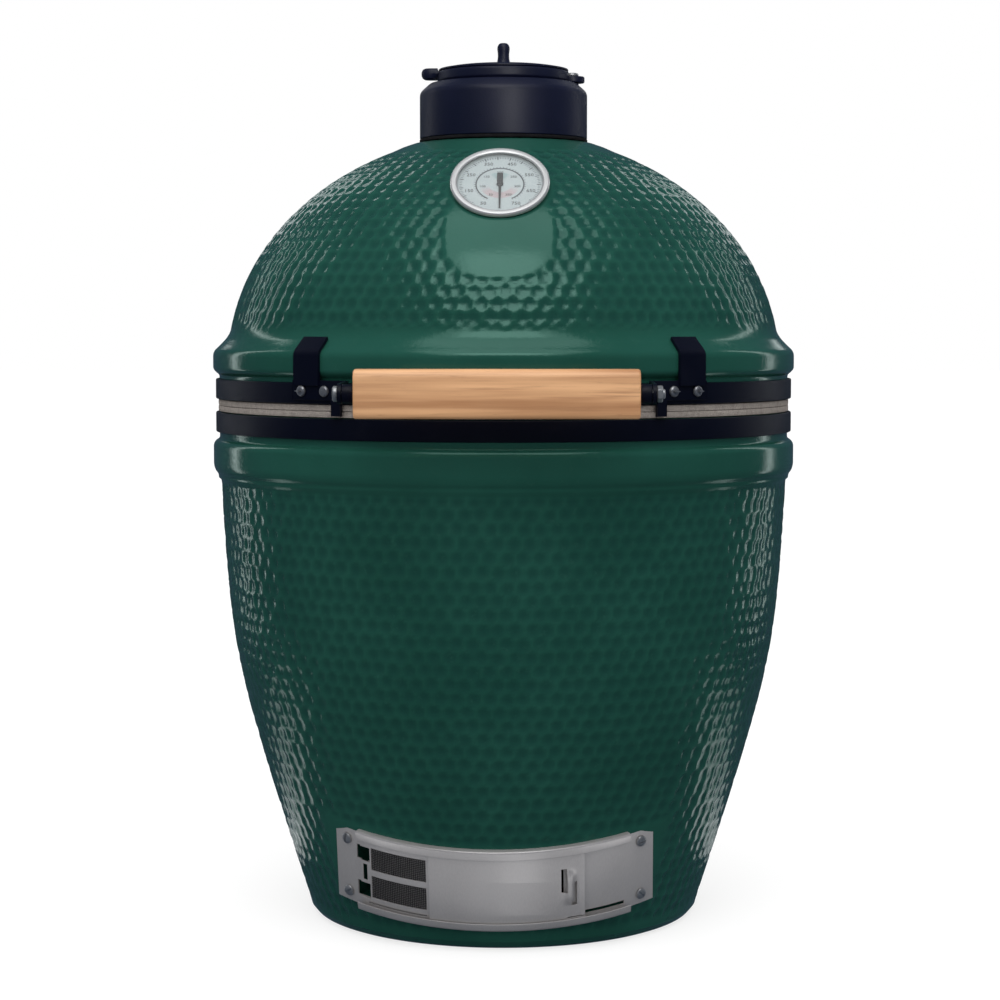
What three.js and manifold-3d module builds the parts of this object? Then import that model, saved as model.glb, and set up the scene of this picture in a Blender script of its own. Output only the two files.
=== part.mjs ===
// A kamado ceramic grill: an egg-shaped ceramic base and dome, hinged at the back.
// Millimetres, +Z up, origin on the axis at the middle of the foot, front towards -Y.
// Angles round the axis are in degrees from the front, growing towards +X.

import * as THREE from 'three';
import { mergeVertices } from 'three/addons/utils/BufferGeometryUtils.js';
import Module from 'manifold-3d';

const wasm = await Module();
wasm.setup();

// ---------------------------------------------------------------- driving dimensions

const gap = 0.4; // air left between pieces that touch
const shellSides = 40; // facets round the two big shells
const ringSides = 30; // facets round the smaller rings
const holeSides = 8; // facets round a plain hole

// The two shells. Their outer curves are the functions baseRadius and domeRadius.
const lipRadius = 272.8;
const rimRadius = 267;
const baseWall = 27;
const domeWall = 22.5;
const baseTop = 474.3;
const domeBottom = 485.7;
const floorTop = 30;
const domeCentre = 517;
const domeWide = 259.2;
const domeHigh = 216.5;
const neckRadius = 72;
const neckTop = 761;
const flueRadius = 55;

// Felt and bands at the joint between the shells.
const feltThick = 5.2;
const feltOuter = 268.2;
const feltInner = 245;
const bandInner = 267.4;
const bandThick = 3;
const lowerBandBottom = 455.2;
const upperBandBottom = 486;
const bandTall = 18.5;
const clampTurn = 150; // where each band's clamp lugs stand

// Rear hinge with its two assist springs.
const hingeY = 305;
const hingeZ = 478;
const lidRange = 70; // degrees that the lid opens
const leverLong = 60;
const springLong = 190;
const springX = 24;
const springRadius = 10;
const leverX = 44; // middle of each upper cheek
const cheekX = 52; // middle of each lower cheek
const plateThick = 3;

// Handle.
const barHalf = 117.9;
const barZ = 497.3;
const barY = -312;
const barTall = 41;
const barDeep = 24;
const armX = 129.5;
const bracketLow = 489.5;
const bracketHigh = 506.5;

// Thermometer: centre of its face, tilt of its axis from upright, and size.
const gaugeY = -180;
const gaugeZ = 678.9;
const gaugeTilt = 45;
const gaugeRadius = 43.5;
const dialRadius = 38.8;

// Cap on the flue.
const capRadius = 78.5;
const capBottom = 728;
const capTop = 780;
const discRadius = 61.8;
const plateTop = 791; // upper face of the swing plate, under the vent wheel
const wheelTop = 797.6;
const pivotX = 64.5;
const ventRadius = 38; // circle that the vent holes stand on
const ventHole = 10;
const ventCount = 6;

// Draft door: a strip bent round an axis that leans with the wall behind it.
const doorRadius = 216;
const doorLean = 17.2;
const doorTurn = -2;
const doorY = -201; // middle of the door's outer face
const doorZ = 59;
const doorEar = 41; // degrees from the middle of the door to its end
const doorTrack = 33.5; // and to the end of its tracks
const doorSteps = 12; // facets along the door
const trackHalf = 39.7; // half the height over the tracks
const plateHalf = 36.5; // half the height of the ears and slides
const slideStart = -14.7;
const slideEnd = 21.8;
const screenStart = -33;
const screenEnd = -12;

// Fire box, ring, grate and grid.
const fireBoxBack = 33; // the base's wall and the air gap inside it
const fireBoxTop = 285;
const fireRingTop = 438;
const shelfTop = 100;
const gridRadius = 227;

// ---------------------------------------------------------------- helpers

const toRadians = THREE.MathUtils.degToRad;

// Outer radius of the base: two straight walls joined by a smooth bend.
function baseRadius(z) {
  const upperWall = 268.9 - 0.0315 * (410 - z);
  const lowerWall = 182.5 + 0.3276 * z;
  const bend = 12.2;
  return (upperWall + lowerWall) / 2 - Math.hypot((upperWall - lowerWall) / 2, bend);
}

// Outer radius of the dome: an ellipse. The inner wall is the same ellipse, smaller.
function domeRadius(z, wall = 0) {
  const rise = (z - domeCentre) / (domeHigh - wall);
  return (domeWide - wall) * Math.sqrt(1 - rise * rise);
}

// A closed geometry as a solid, with its faces turned outwards.
function solid(geometry, matrix) {
  const bare = geometry.clone();
  if (matrix) bare.applyMatrix4(matrix);
  bare.deleteAttribute('normal');
  bare.deleteAttribute('uv');
  const merged = mergeVertices(bare, 1e-4);
  const places = merged.attributes.position;
  const corners = merged.index.array;
  const kept = [];
  const [a, b, c] = [new THREE.Vector3(), new THREE.Vector3(), new THREE.Vector3()];
  let volume = 0;
  for (let i = 0; i < corners.length; i += 3) {
    const [p, q, r] = corners.slice(i, i + 3);
    if (p === q || q === r || r === p) continue;
    kept.push([p, q, r]);
    a.fromBufferAttribute(places, p);
    b.fromBufferAttribute(places, q);
    c.fromBufferAttribute(places, r);
    volume += a.dot(b.cross(c));
  }
  const faces = volume < 0 ? kept.map(([p, q, r]) => [p, r, q]) : kept;
  return new wasm.Manifold(new wasm.Mesh({
    numProp: 3,
    vertProperties: new Float32Array(places.array),
    triVerts: new Uint32Array(faces.flat()),
  }));
}

// A profile of [radius, z] pairs turned round Z. It closes on itself or on the axis.
function turned(profile, sides, matrix) {
  const points = profile.map(([r, z]) => new THREE.Vector2(r, z));
  const onAxis = points[0].x === 0 && points.at(-1).x === 0;
  if (!onAxis) points.push(points[0].clone());
  const geometry = new THREE.LatheGeometry(points, sides).rotateX(Math.PI / 2);
  return solid(geometry, matrix);
}

// A ring of rectangular section.
const ring = (inner, outer, low, high, sides) =>
  turned([[inner, low], [outer, low], [outer, high], [inner, high]], sides);

// Part of such a ring, between two angles from the front.
function arc(inner, outer, low, high, from, to, steps, matrix) {
  const start = toRadians(from - 90);
  const end = toRadians(to - 90);
  const shape = new THREE.Shape();
  shape.absarc(0, 0, outer, start, end, false);
  shape.absarc(0, 0, inner, end, start, true);
  shape.closePath();
  const settings = { depth: high - low, bevelEnabled: false, curveSegments: steps / 2 };
  return solid(new THREE.ExtrudeGeometry(shape, settings).translate(0, 0, low), matrix);
}

// A wedge of space between two angles, wide enough to trim a turned ring.
function wedge(from, to, low, high) {
  const reach = 400;
  const corner = (angle, r) =>
    new THREE.Vector2(r * Math.sin(toRadians(angle)), -r * Math.cos(toRadians(angle)));
  const shape = new THREE.Shape([corner(from, 0), corner(from, reach), corner(to, reach)]);
  const settings = { depth: high - low, bevelEnabled: false };
  return solid(new THREE.ExtrudeGeometry(shape, settings).translate(0, 0, low));
}

// A block between two corners.
function block([x0, y0, z0], [x1, y1, z1], matrix) {
  const geometry = new THREE.BoxGeometry(x1 - x0, y1 - y0, z1 - z0);
  geometry.translate((x0 + x1) / 2, (y0 + y1) / 2, (z0 + z1) / 2);
  return solid(geometry, matrix);
}

// A shape drawn in Y and Z and made thick along X, on both sides of middleX.
function sideways(shape, middleX, thick) {
  const settings = { depth: thick, bevelEnabled: false, curveSegments: 3 };
  const turn = new THREE.Matrix4().makeBasis(
    new THREE.Vector3(0, 1, 0), new THREE.Vector3(0, 0, 1), new THREE.Vector3(1, 0, 0));
  const geometry = new THREE.ExtrudeGeometry(shape, settings).applyMatrix4(turn);
  return solid(geometry.translate(middleX - thick / 2, 0, 0));
}

// A plate parallel to the YZ plane, from its outline of [y, z] pairs.
const sidePlate = (outline, middleX) =>
  sideways(new THREE.Shape(outline.map(([y, z]) => new THREE.Vector2(y, z))), middleX, plateThick);

// A round bar along X, from a profile of [radius, x] pairs.
function barX(profile, y, z, sides = 16) {
  const points = profile.map(([r, x]) => new THREE.Vector2(r, x));
  const geometry = new THREE.LatheGeometry(points, sides).rotateZ(-Math.PI / 2);
  return solid(geometry.translate(0, y, z));
}

const plainBarX = (radius, from, to, y, z, sides = 12) =>
  barX([[0, from], [radius, from], [radius, to], [0, to]], y, z, sides);

// A short upright cylinder.
function post(radius, low, high, x = 0, y = 0, sides = 16, matrix = new THREE.Matrix4()) {
  const place = matrix.clone().multiply(new THREE.Matrix4().makeTranslation(x, y, 0));
  return turned([[0, low], [radius, low], [radius, high], [0, high]], sides, place);
}

// Turns an upright piece so that its Z lies along X, at a given y and z.
const alongX = (y, z) =>
  new THREE.Matrix4().makeTranslation(0, y, z).multiply(new THREE.Matrix4().makeRotationY(Math.PI / 2));

// A hexagonal nut with a round bore, upright on the axis.
const nut = (bore, corner, low, high, matrix) =>
  post(corner, low, high, 0, 0, 6, matrix).subtract(post(bore, low - 1, high + 1, 0, 0, 12, matrix));

// Places a piece, modelled upright on the axis, at an angle, radius and height.
function outward(angle, radius, z) {
  const spin = new THREE.Matrix4().makeRotationZ(toRadians(angle));
  const reach = new THREE.Matrix4().makeTranslation(0, -radius, z);
  const tip = new THREE.Matrix4().makeRotationX(Math.PI / 2);
  return spin.multiply(reach).multiply(tip);
}

const cutAll = (body, tools) => tools.reduce((left, tool) => left.subtract(tool), body);
const joinAll = (pieces) => pieces.reduce((whole, piece) => whole.add(piece));
const everyTurn = (count, make) => Array.from({ length: count }, (_, i) => make(i, (360 * i) / count));

// ---------------------------------------------------------------- finishes

const finish = (color, roughness, metalness = 0) => ({ color, roughness, metalness });
const finishes = {
  glaze: finish(0x1c4338, 0.25),
  bareCeramic: finish(0xb9a78d, 0.9),
  felt: finish(0x857e77, 0.95),
  blackSteel: finish(0x0d1018, 0.5, 0.3),
  stainless: finish(0x9a9894, 0.35, 1),
  wood: finish(0xdda877, 0.5),
  castIron: finish(0x2a2a2c, 0.8, 0.4),
  capPaint: finish(0x17192b, 0.55, 0.2),
  dial: finish(0xdfe8e2, 0.6),
  needle: finish(0x101010, 0.5),
  glass: finish(0xe8f0f0, 0.05),
};

const grill = new THREE.Group();

function add(name, body, finishName, parent = grill) {
  const { vertProperties, triVerts } = body.getMesh();
  const geometry = new THREE.BufferGeometry();
  geometry.setAttribute('position', new THREE.BufferAttribute(new Float32Array(vertProperties), 3));
  geometry.setIndex(new THREE.BufferAttribute(new Uint32Array(triVerts), 1));
  const piece = new THREE.Mesh(geometry, new THREE.MeshStandardMaterial(finishes[finishName]));
  piece.name = name;
  parent.add(piece);
}

// ---------------------------------------------------------------- draft door frame of reference

// The door's own axis: its Z runs up the wall and its -Y points out of the wall.
const doorAxis = new THREE.Group();
const lean = toRadians(doorLean);
doorAxis.rotation.x = lean;
doorAxis.position.set(0, doorY + doorRadius * Math.cos(lean), doorZ + doorRadius * Math.sin(lean));
const doorSwing = new THREE.Group();
doorSwing.rotation.z = toRadians(doorTurn);
doorSwing.add(doorAxis);
grill.add(doorSwing);
grill.updateMatrixWorld(true);
const inDoor = doorAxis.matrixWorld;

// ---------------------------------------------------------------- base

const heights = (from, to, steps) =>
  Array.from({ length: steps + 1 }, (_, i) => from + ((to - from) * i) / steps);

function baseShell() {
  const outside = heights(30, 411, 7).map((z) => [baseRadius(z), z]);
  const inside = heights(432, 60, 4).map((z) => [baseRadius(z) - baseWall, z]);
  const foot = [[0, 0], [172, 0], [178.5, 2.5], [183.4, 8.5]];
  const lip = [[268, 415.5], [272, 420.5], [lipRadius, 425], [lipRadius, 443], [270.8, 446.8],
    [rimRadius, 449]];
  const rim = [[rimRadius, baseTop], [244, baseTop]];
  const floor = [[146, floorTop], [0, floorTop]];
  const body = turned([...foot, ...outside, ...lip, ...rim, ...inside, ...floor], shellSides);
  const seat = arc(doorRadius - 1.4 - gap, 250, -trackHalf - 1, trackHalf + 1, -doorEar - 1,
    doorEar + 1, doorSteps, inDoor);
  const opening = block([-46, -260, -22], [60, -120, 22], inDoor);
  return cutAll(body, [seat, opening]);
}

// The fire box is two stacked rings: one with the shelf for the grate, and the bowl above it.
function fireBoxLower() {
  const outside = [60, shelfTop].map((z) => [baseRadius(z) - fireBoxBack, z]);
  const body = turned([[138, floorTop + gap], ...outside, [96, shelfTop], [96, 84], [124, 78],
    [118, floorTop + gap]], ringSides);
  return body.subtract(block([-55, -200, 20], [55, -90, 74]));
}

function fireBoxUpper() {
  const low = shelfTop + gap;
  const outside = [low, 120, 200, fireBoxTop].map((z) => [baseRadius(z) - fireBoxBack, z]);
  const body = turned([...outside, [200, fireBoxTop], [184, 200], [163, 120], [148, low]], ringSides);
  const airHoles = everyTurn(6, (_, angle) =>
    turned([[0, -40], [9, -40], [9, 40], [0, 40]], holeSides, outward(angle + 30, 190, 150)));
  return cutAll(body, airHoles);
}

function fireRing() {
  const outside = [fireBoxTop + gap, 350, fireRingTop].map((z) => [baseRadius(z) - fireBoxBack, z]);
  return turned([...outside, [214, fireRingTop], [207, 350], [202, fireBoxTop + gap]], ringSides);
}

function charcoalGrate() {
  const disc = post(112, shelfTop + gap, shelfTop + 8, 0, 0, ringSides);
  const slots = (count, from, to, halfWide) => everyTurn(count, (_, angle) =>
    block([-halfWide, from, shelfTop - 5], [halfWide, to, shelfTop + 15],
      new THREE.Matrix4().makeRotationZ(toRadians(angle))));
  return cutAll(disc, [...slots(6, 14, 48, 5), ...slots(12, 58, 96, 5)]);
}

function cookingGrid() {
  const low = fireRingTop + gap;
  const hoop = ring(gridRadius - 5, gridRadius, low, low + 5, ringSides);
  const pitch = 27;
  const wires = Array.from({ length: 15 }, (_, i) => {
    const x = (i - 7) * pitch;
    const half = Math.sqrt((gridRadius - 3.5) ** 2 - x * x);
    return block([x - 1.8, -half, low + 1], [x + 1.8, half, low + 4.6]);
  });
  const rails = [-95, 95].map((y) => block([-182, y - 2.5, low - 4], [182, y + 2.5, low + 1.6]));
  return joinAll([hoop, ...wires, ...rails]);
}

// ---------------------------------------------------------------- bands and their clamps

// A steel band with a split and two lugs that a bolt pulls together.
function band(low) {
  const high = low + bandTall;
  const outer = bandInner + bandThick;
  const hoop = ring(bandInner, outer, low, high, shellSides);
  const lugs = [-1.5, 0.7].map((side) =>
    arc(outer - 1, outer + 17, low + 1, high - 1, clampTurn + side, clampTurn + side + 0.8, 2));
  const split = arc(bandInner - 5, outer + 20, low - 1, high + 1, clampTurn - 0.7, clampTurn + 0.7, 2);
  return joinAll([hoop, ...lugs]).subtract(split).subtract(clampBore(low, 3.6));
}

// The clamp bolt's line is square to the lugs, half way up the band.
function clampLine(low) {
  const spin = new THREE.Matrix4().makeRotationZ(toRadians(clampTurn));
  const reach = new THREE.Matrix4().makeTranslation(0, -(bandInner + 12), low + bandTall / 2);
  return spin.multiply(reach).multiply(new THREE.Matrix4().makeRotationY(Math.PI / 2));
}

const clampBore = (low, radius) =>
  turned([[0, -20], [radius, -20], [radius, 20], [0, 20]], 12, clampLine(low));
const clampBolt = (low) =>
  turned([[0, -16], [3, -16], [3, 8], [5.5, 8], [5.5, 12], [0, 12]], 12, clampLine(low));
const clampNut = (low) => nut(3.4, 5.8, -12.5, -8.2, clampLine(low));

// ---------------------------------------------------------------- hinge

const halfOpen = toRadians(lidRange / 2);
const hookY = hingeY + leverLong * Math.cos(halfOpen);
const hookZ = hingeZ + leverLong * Math.sin(halfOpen);
const footZ = hookZ - springLong;
const sides = [-1, 1];
const bracketArc = 12; // half the angle that each bracket's strap covers

// Strap on the lower band with two cheeks that hold the pin and the springs' lower rod.
function hingeLowerBracket() {
  const outer = bandInner + bandThick;
  const strap = arc(outer + gap, outer + gap + 3, lowerBandBottom + 0.5, lowerBandBottom + bandTall - 0.5,
    180 - bracketArc, 180 + bracketArc, 12);
  const outline = [[268, 472], [268, 457], [277, 452], [338, footZ + 4], [346, footZ - 8],
    [hookY + 4, footZ - 8], [hookY + 8, footZ], [hookY + 4, footZ + 9], [316, hingeZ - 8],
    [316, hingeZ + 5], [309, hingeZ + 11], [300, hingeZ + 11], [292, hingeZ + 5], [283, 472]];
  const cheeks = sides.map((side) => sidePlate(outline, side * cheekX));
  const pinBore = plainBarX(4.3, -70, 70, hingeY, hingeZ);
  const rodBore = plainBarX(3.3, -70, 70, hookY, footZ);
  return cutAll(joinAll([strap, ...cheeks]), [pinBore, rodBore]);
}

// Strap on the upper band with two cheeks that turn on the pin and reach back as levers.
function hingeUpperBracket() {
  const outer = bandInner + bandThick;
  const strap = arc(outer + gap, outer + gap + 3, upperBandBottom + 0.5, upperBandBottom + bandTall - 0.5,
    180 - bracketArc, 180 + bracketArc, 12);
  const outline = [[269, 502], [269, 488.5], [296, 469], [305, 466], [314, 469],
    [hookY + 6, hookZ - 6], [hookY + 8, hookZ + 1], [hookY + 4, hookZ + 8], [hookY - 5, hookZ + 7],
    [302, 502]];
  const cheeks = sides.map((side) => sidePlate(outline, side * leverX));
  const pinBore = plainBarX(4.5, -70, 70, hingeY, hingeZ);
  const rodBore = plainBarX(3.3, -70, 70, hookY, hookZ);
  return cutAll(joinAll([strap, ...cheeks]), [pinBore, rodBore]);
}

const hingePin = () => {
  const end = cheekX + plateThick / 2 + gap;
  return barX([[0, -end - 3.5], [7, -end - 3.5], [7, -end], [3.9, -end], [3.9, end + 8], [0, end + 8]],
    hingeY, hingeZ);
};
const hingeNut = () => {
  const from = cheekX + plateThick / 2 + gap;
  return nut(4.4, 7.5, from, from + 5.5, alongX(hingeY, hingeZ));
};
const springRod = (y, z, half) => plainBarX(2.9, -half, half, y, z, 12);

// The coil's outer shape; the wire's turns and hooks lie inside it.
function springSleeve(side) {
  const clear = 5;
  const place = new THREE.Matrix4().makeTranslation(side * springX, hookY, 0);
  return turned([[springRadius - 3, footZ + clear], [springRadius, footZ + clear],
    [springRadius, hookZ - clear], [springRadius - 3, hookZ - clear]], 16, place);
}

// ---------------------------------------------------------------- dome

const gaugeAxis = new THREE.Group();
gaugeAxis.rotation.x = toRadians(gaugeTilt);
gaugeAxis.position.set(0, gaugeY, gaugeZ);
grill.add(gaugeAxis);
grill.updateMatrixWorld(true);
const inGauge = gaugeAxis.matrixWorld;

function domeShell() {
  const inside = heights(640, domeCentre, 3).map((z) => [domeRadius(z, domeWall), z]);
  const crown = [700, 690, 670].map((z) => [domeRadius(z, domeWall), z]);
  const outside = [549, 584, 618, 650, 678, 702, 715].map((z) => [domeRadius(z), z]);
  const lip = [[244, domeBottom], [rimRadius, domeBottom], [rimRadius, 508], [270, 510.3],
    [lipRadius, 513.5], [lipRadius, 527.5], [271.4, 531], [266, 535.7], [260, 541.8], [257, 545.6]];
  const neck = [[83, 723.7], [neckRadius, 724.2], [neckRadius, neckTop - 2], [neckRadius - 2, neckTop],
    [flueRadius, neckTop], [flueRadius, 706]];
  const body = turned([...lip, ...outside, ...neck, ...crown, ...inside], shellSides);
  const seat = turned([[0, -15], [27, -15], [31, -8.2], [gaugeRadius + 0.6, -3.6],
    [gaugeRadius + 0.6, 20], [0, 20]], 24, inGauge);
  const stemHole = turned([[0, -45], [6, -45], [6, -10], [0, -10]], 12, inGauge);
  return body.subtract(seat).subtract(stemHole);
}

// ---------------------------------------------------------------- thermometer

const gaugeHousing = () => turned([[4.4, -5], [dialRadius + 0.4, -5], [dialRadius + 0.4, -0.6],
  [37.2, -0.6], [37.2, 0], [38.5, 0.8], [42.3, 0.8], [gaugeRadius, -0.6], [gaugeRadius, -3],
  [30, -7.8], [26, -14], [4.4, -14]], 32);
const gaugeDial = () => post(dialRadius, -4.7, -4, 0, 0, 32);
const gaugeLens = () => post(dialRadius, -2, -1, 0, 0, 32);
const gaugeStem = () => turned([[0, -82], [2.5, -80], [4, -74], [4, -6], [0, -6]], 12);
const gaugeNut = () => nut(4.6, 11, -36, -30.5);

function gaugeNeedle() {
  const low = -3.5;
  const high = -2.7;
  const outline = [[-1.2, 0], [-0.5, -31], [0.5, -31], [1.2, 0], [2.1, 3], [2.1, 13], [-2.1, 13], [-2.1, 3]];
  const shape = new THREE.Shape(outline.map(([x, y]) => new THREE.Vector2(x, y)));
  const settings = { depth: high - low, bevelEnabled: false };
  const pointer = solid(new THREE.ExtrudeGeometry(shape, settings).translate(0, 0, low));
  return pointer.add(post(3, low, high, 0, 0, 12));
}

// ---------------------------------------------------------------- handle

// Steel bracket: a plate on the band, a lug down over the felt, a hook over the dome's lip
// and an arm to the bar.
function handleBracket(side) {
  const between = (a, b) => (side < 0 ? [-b, -a] : [a, b]);
  const inner = bandInner + bandThick + gap;
  const plate = arc(inner, inner + 3, bracketLow, bracketHigh, ...between(28.2, 40.8), 8);
  const hookShape = turned([[inner + 2.2, 503], [inner + 5.2, 503], [inner + 5.2, 529.5],
    [inner + 2.8, 533.2], [262.6, 544], [261.6, 541.6], [269.4, 534], [272.4, 531.2],
    [lipRadius + gap, 527.5]], 72);
  const hook = hookShape.intersect(wedge(...between(34.2, 40.1), 490, 560));
  const lug = arc(inner, inner + 3, 476, bracketLow + 1, ...between(29.6, 31.6), 2);
  const x = side * armX;
  const arm = block([x - 1.5, barY - 9, bracketLow], [x + 1.5, -239.6, bracketHigh]);
  return joinAll([plate, lug, hook, arm]).subtract(plainBarX(4.4, -200, 200, barY, barZ));
}

const bracketAngles = [33, 38.4];
const bracketBolt = (angle) => {
  const face = bandInner + bandThick + gap + 3 + gap;
  const matrix = outward(angle, face, 497.3);
  return turned([[0, 0], [4.8, 0], [4.6, 1.6], [3, 3], [0, 3.4]], 10, matrix);
};

function handleBar() {
  const round = 9;
  const [y0, y1] = [barY - barDeep / 2, barY + barDeep / 2];
  const [z0, z1] = [barZ - barTall / 2, barZ + barTall / 2];
  const shape = new THREE.Shape();
  shape.absarc(y1 - 5, z1 - 5, 5, 0, Math.PI / 2, false);
  shape.absarc(y0 + round, z1 - round, round, Math.PI / 2, Math.PI, false);
  shape.absarc(y0 + round, z0 + round, round, Math.PI, 1.5 * Math.PI, false);
  shape.absarc(y1 - 5, z0 + 5, 5, 1.5 * Math.PI, 2 * Math.PI, false);
  const bore = plainBarX(4.4, -200, 200, barY, barZ);
  return sideways(shape, 0, 2 * barHalf).subtract(bore);
}

const handleBush = (side) => {
  const [from, to] = side < 0 ? [-armX + 1.9, -barHalf - gap] : [barHalf + gap, armX - 1.9];
  return barX([[4.5, from], [8, from], [8, to], [4.5, to], [4.5, from]], barY, barZ);
};
const handleRod = () => {
  const end = armX + 1.9;
  return barX([[0, -end - 4], [6.5, -end - 4], [6.5, -end], [4, -end], [4, end + 7], [0, end + 7]],
    barY, barZ);
};
const handleNut = () => nut(4.4, 7, armX + 1.9, armX + 6.9, alongX(barY, barZ));

// ---------------------------------------------------------------- cap

function capCollar() {
  const body = turned([[neckRadius + 1.6, capBottom], [capRadius, capBottom], [capRadius, 771],
    [68.4, capTop], [48, capTop], [48, 776], [neckRadius + 1.6, 768]], ringSides);
  const boss = post(6, 768, capTop, pivotX, 0, 12);
  return body.add(boss).subtract(post(3.2, 770, capTop + 5, pivotX, 0, 12));
}

const ventHoles = (low, high, turn) => everyTurn(ventCount, (_, angle) =>
  turned([[0, low], [ventHole, low], [ventHole, high], [0, high]], holeSides,
    new THREE.Matrix4().makeTranslation(
      ventRadius * Math.sin(toRadians(angle + turn)), -ventRadius * Math.cos(toRadians(angle + turn)), 0)));

// The lid of the cap, with a grip on the left and the pivot ear on the right.
function capSwingPlate() {
  const low = capTop + gap;
  const disc = turned([[0, low], [discRadius - 2, low], [discRadius, low + 2],
    [discRadius, plateTop - 1.5], [discRadius - 1.5, plateTop], [0, plateTop]], ringSides);
  const earTop = low + 6;
  const ear = post(11.5, low, earTop, pivotX, 0, 16);
  const grip = block([-73, -9, 783], [-52, 9, 794]).add(post(9, 783, 794, -68, 0, 16));
  const gripTrim = post(discRadius + gap, plateTop, 800, 0, 0, ringSides);
  const headSeat = post(7, earTop, 800, pivotX, 0, 12);
  const body = cutAll(joinAll([disc, ear, grip]), [gripTrim, headSeat]);
  const pinBore = post(4, low - 5, 800, pivotX, 0, 12);
  const knobBore = post(3.4, low - 5, 800, 0, 0, 12);
  return cutAll(body, [pinBore, knobBore, ...ventHoles(low - 5, 800, 0)]);
}

function ventWheel() {
  const low = plateTop + gap;
  const body = turned([[0, low], [discRadius - 1, low], [discRadius - 1, low + 2.5],
    [discRadius - 4, wheelTop - 1.6], [20, wheelTop], [0, wheelTop]], ringSides);
  const knobBore = post(3.4, low - 5, 805, 0, 0, 12);
  return cutAll(body, [knobBore, ...ventHoles(low - 5, 805, 30)]);
}

const ventKnob = () => {
  const low = wheelTop + gap;
  return turned([[0, 783], [3, 783], [3, low], [6.6, low], [6.6, low + 3], [5.2, low + 6],
    [5.4, low + 12], [6.6, low + 15], [5.6, low + 18.4], [3, low + 19.8], [0, low + 19.8]], 12);
};
const capPivotPin = () => {
  const low = 772;
  const seat = capTop + gap + 6 + gap;
  const place = new THREE.Matrix4().makeTranslation(pivotX, 0, 0);
  return turned([[0, low], [2.8, low], [2.8, seat], [6, seat], [5.4, seat + 2.6], [0, seat + 3]], 12, place);
};

// ---------------------------------------------------------------- draft door

const lipInside = doorRadius + 4;
const lipOutside = doorRadius + 5.2;

function draftFrame() {
  const plate = arc(doorRadius - 1.4, doorRadius, -plateHalf, plateHalf, -doorEar, doorEar, doorSteps);
  const window = arc(doorRadius - 5, doorRadius + 5, -23, 23, -13, 17, 6);
  const tracks = sides.map((side) => {
    const [webLow, webHigh] = side < 0 ? [-trackHalf, 1.2 - trackHalf] : [trackHalf - 1.2, trackHalf];
    const [lipLow, lipHigh] = side < 0 ? [-trackHalf, 8 - trackHalf] : [trackHalf - 8, trackHalf];
    const [backLow, backHigh] = side < 0 ? [-trackHalf, 1 - plateHalf] : [plateHalf - 1, trackHalf];
    const web = arc(doorRadius - 1.4, lipOutside, webLow, webHigh, -doorTrack, doorTrack, doorSteps);
    const lip = arc(lipInside, lipOutside, lipLow, lipHigh, -doorTrack, doorTrack, doorSteps);
    const back = arc(doorRadius - 1.4, doorRadius, backLow, backHigh, -doorTrack, doorTrack, doorSteps);
    return joinAll([web, lip, back]);
  });
  return cutAll(joinAll([plate, ...tracks]), [window, ...screwPlaces().map(screwBore)]);
}

const screwPlaces = () => sides.flatMap((side) => sides.map((up) => [side * 37.2, up * 26.5]));
const screwBore = ([angle, z]) =>
  turned([[0, -30], [2.8, -30], [2.8, 10], [0, 10]], holeSides, outward(angle, doorRadius, z));
const screw = ([angle, z]) => turned([[0, gap], [5.2, gap], [4.8, 2.2], [2.8, 3.4], [0, 3.7]], 10,
  outward(angle, doorRadius, z));

const slideInside = doorRadius + 2.5;
function draftSlide() {
  const sheet = arc(slideInside, slideInside + 1.1, -plateHalf + 0.3, plateHalf - 0.3, slideStart, slideEnd, 10);
  const pull = arc(slideInside, slideInside + 9, -22, 16, 17, 17.5, 2);
  return sheet.add(pull);
}

const windowRows = [[3, 25], [-25, -3]];
const windowFrom = -30;
const windowTo = -15.5;
const screenInside = doorRadius + 0.4;
function screenSlide() {
  const sheet = arc(screenInside, screenInside + 1, -plateHalf + 0.3, plateHalf - 0.3,
    screenStart, screenEnd, 12);
  const windows = windowRows.map(([low, high]) =>
    arc(doorRadius - 5, doorRadius + 10, low, high, windowFrom, windowTo, 8));
  const notches = [[10, 24], [-27, -12]].map(([low, high]) =>
    arc(doorRadius - 5, doorRadius + 10, low, high, screenStart - 2, screenStart + 1.4, 2));
  return cutAll(sheet, [...windows, ...notches]);
}
const screenMesh = ([low, high]) => arc(screenInside + 0.3, screenInside + 0.7, low + gap, high - gap,
  windowFrom + 0.1, windowTo - 0.1, 8);

// ---------------------------------------------------------------- assembly

add('base_shell', baseShell(), 'glaze');
add('base_gasket', ring(feltInner, feltOuter, baseTop + 0.3, baseTop + 0.3 + feltThick, shellSides), 'felt');
add('fire_box_lower', fireBoxLower(), 'bareCeramic');
add('fire_box_upper', fireBoxUpper(), 'bareCeramic');
add('fire_ring', fireRing(), 'bareCeramic');
add('charcoal_grate', charcoalGrate(), 'castIron');
add('cooking_grid', cookingGrid(), 'stainless');
for (const [name, low] of [['lower_band', lowerBandBottom], ['upper_band', upperBandBottom]]) {
  add(name, band(low), 'blackSteel');
  add(`${name}_bolt`, clampBolt(low), 'stainless');
  add(`${name}_nut`, clampNut(low), 'stainless');
}
add('hinge_lower_bracket', hingeLowerBracket(), 'blackSteel');
add('hinge_upper_bracket', hingeUpperBracket(), 'blackSteel');
add('hinge_pin', hingePin(), 'stainless');
add('hinge_pin_nut', hingeNut(), 'stainless');
add('spring_rod_lower', springRod(hookY, footZ, 58), 'stainless');
add('spring_rod_upper', springRod(hookY, hookZ, 49.5), 'stainless');
add('lid_spring_left', springSleeve(-1), 'stainless');
add('lid_spring_right', springSleeve(1), 'stainless');

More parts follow.
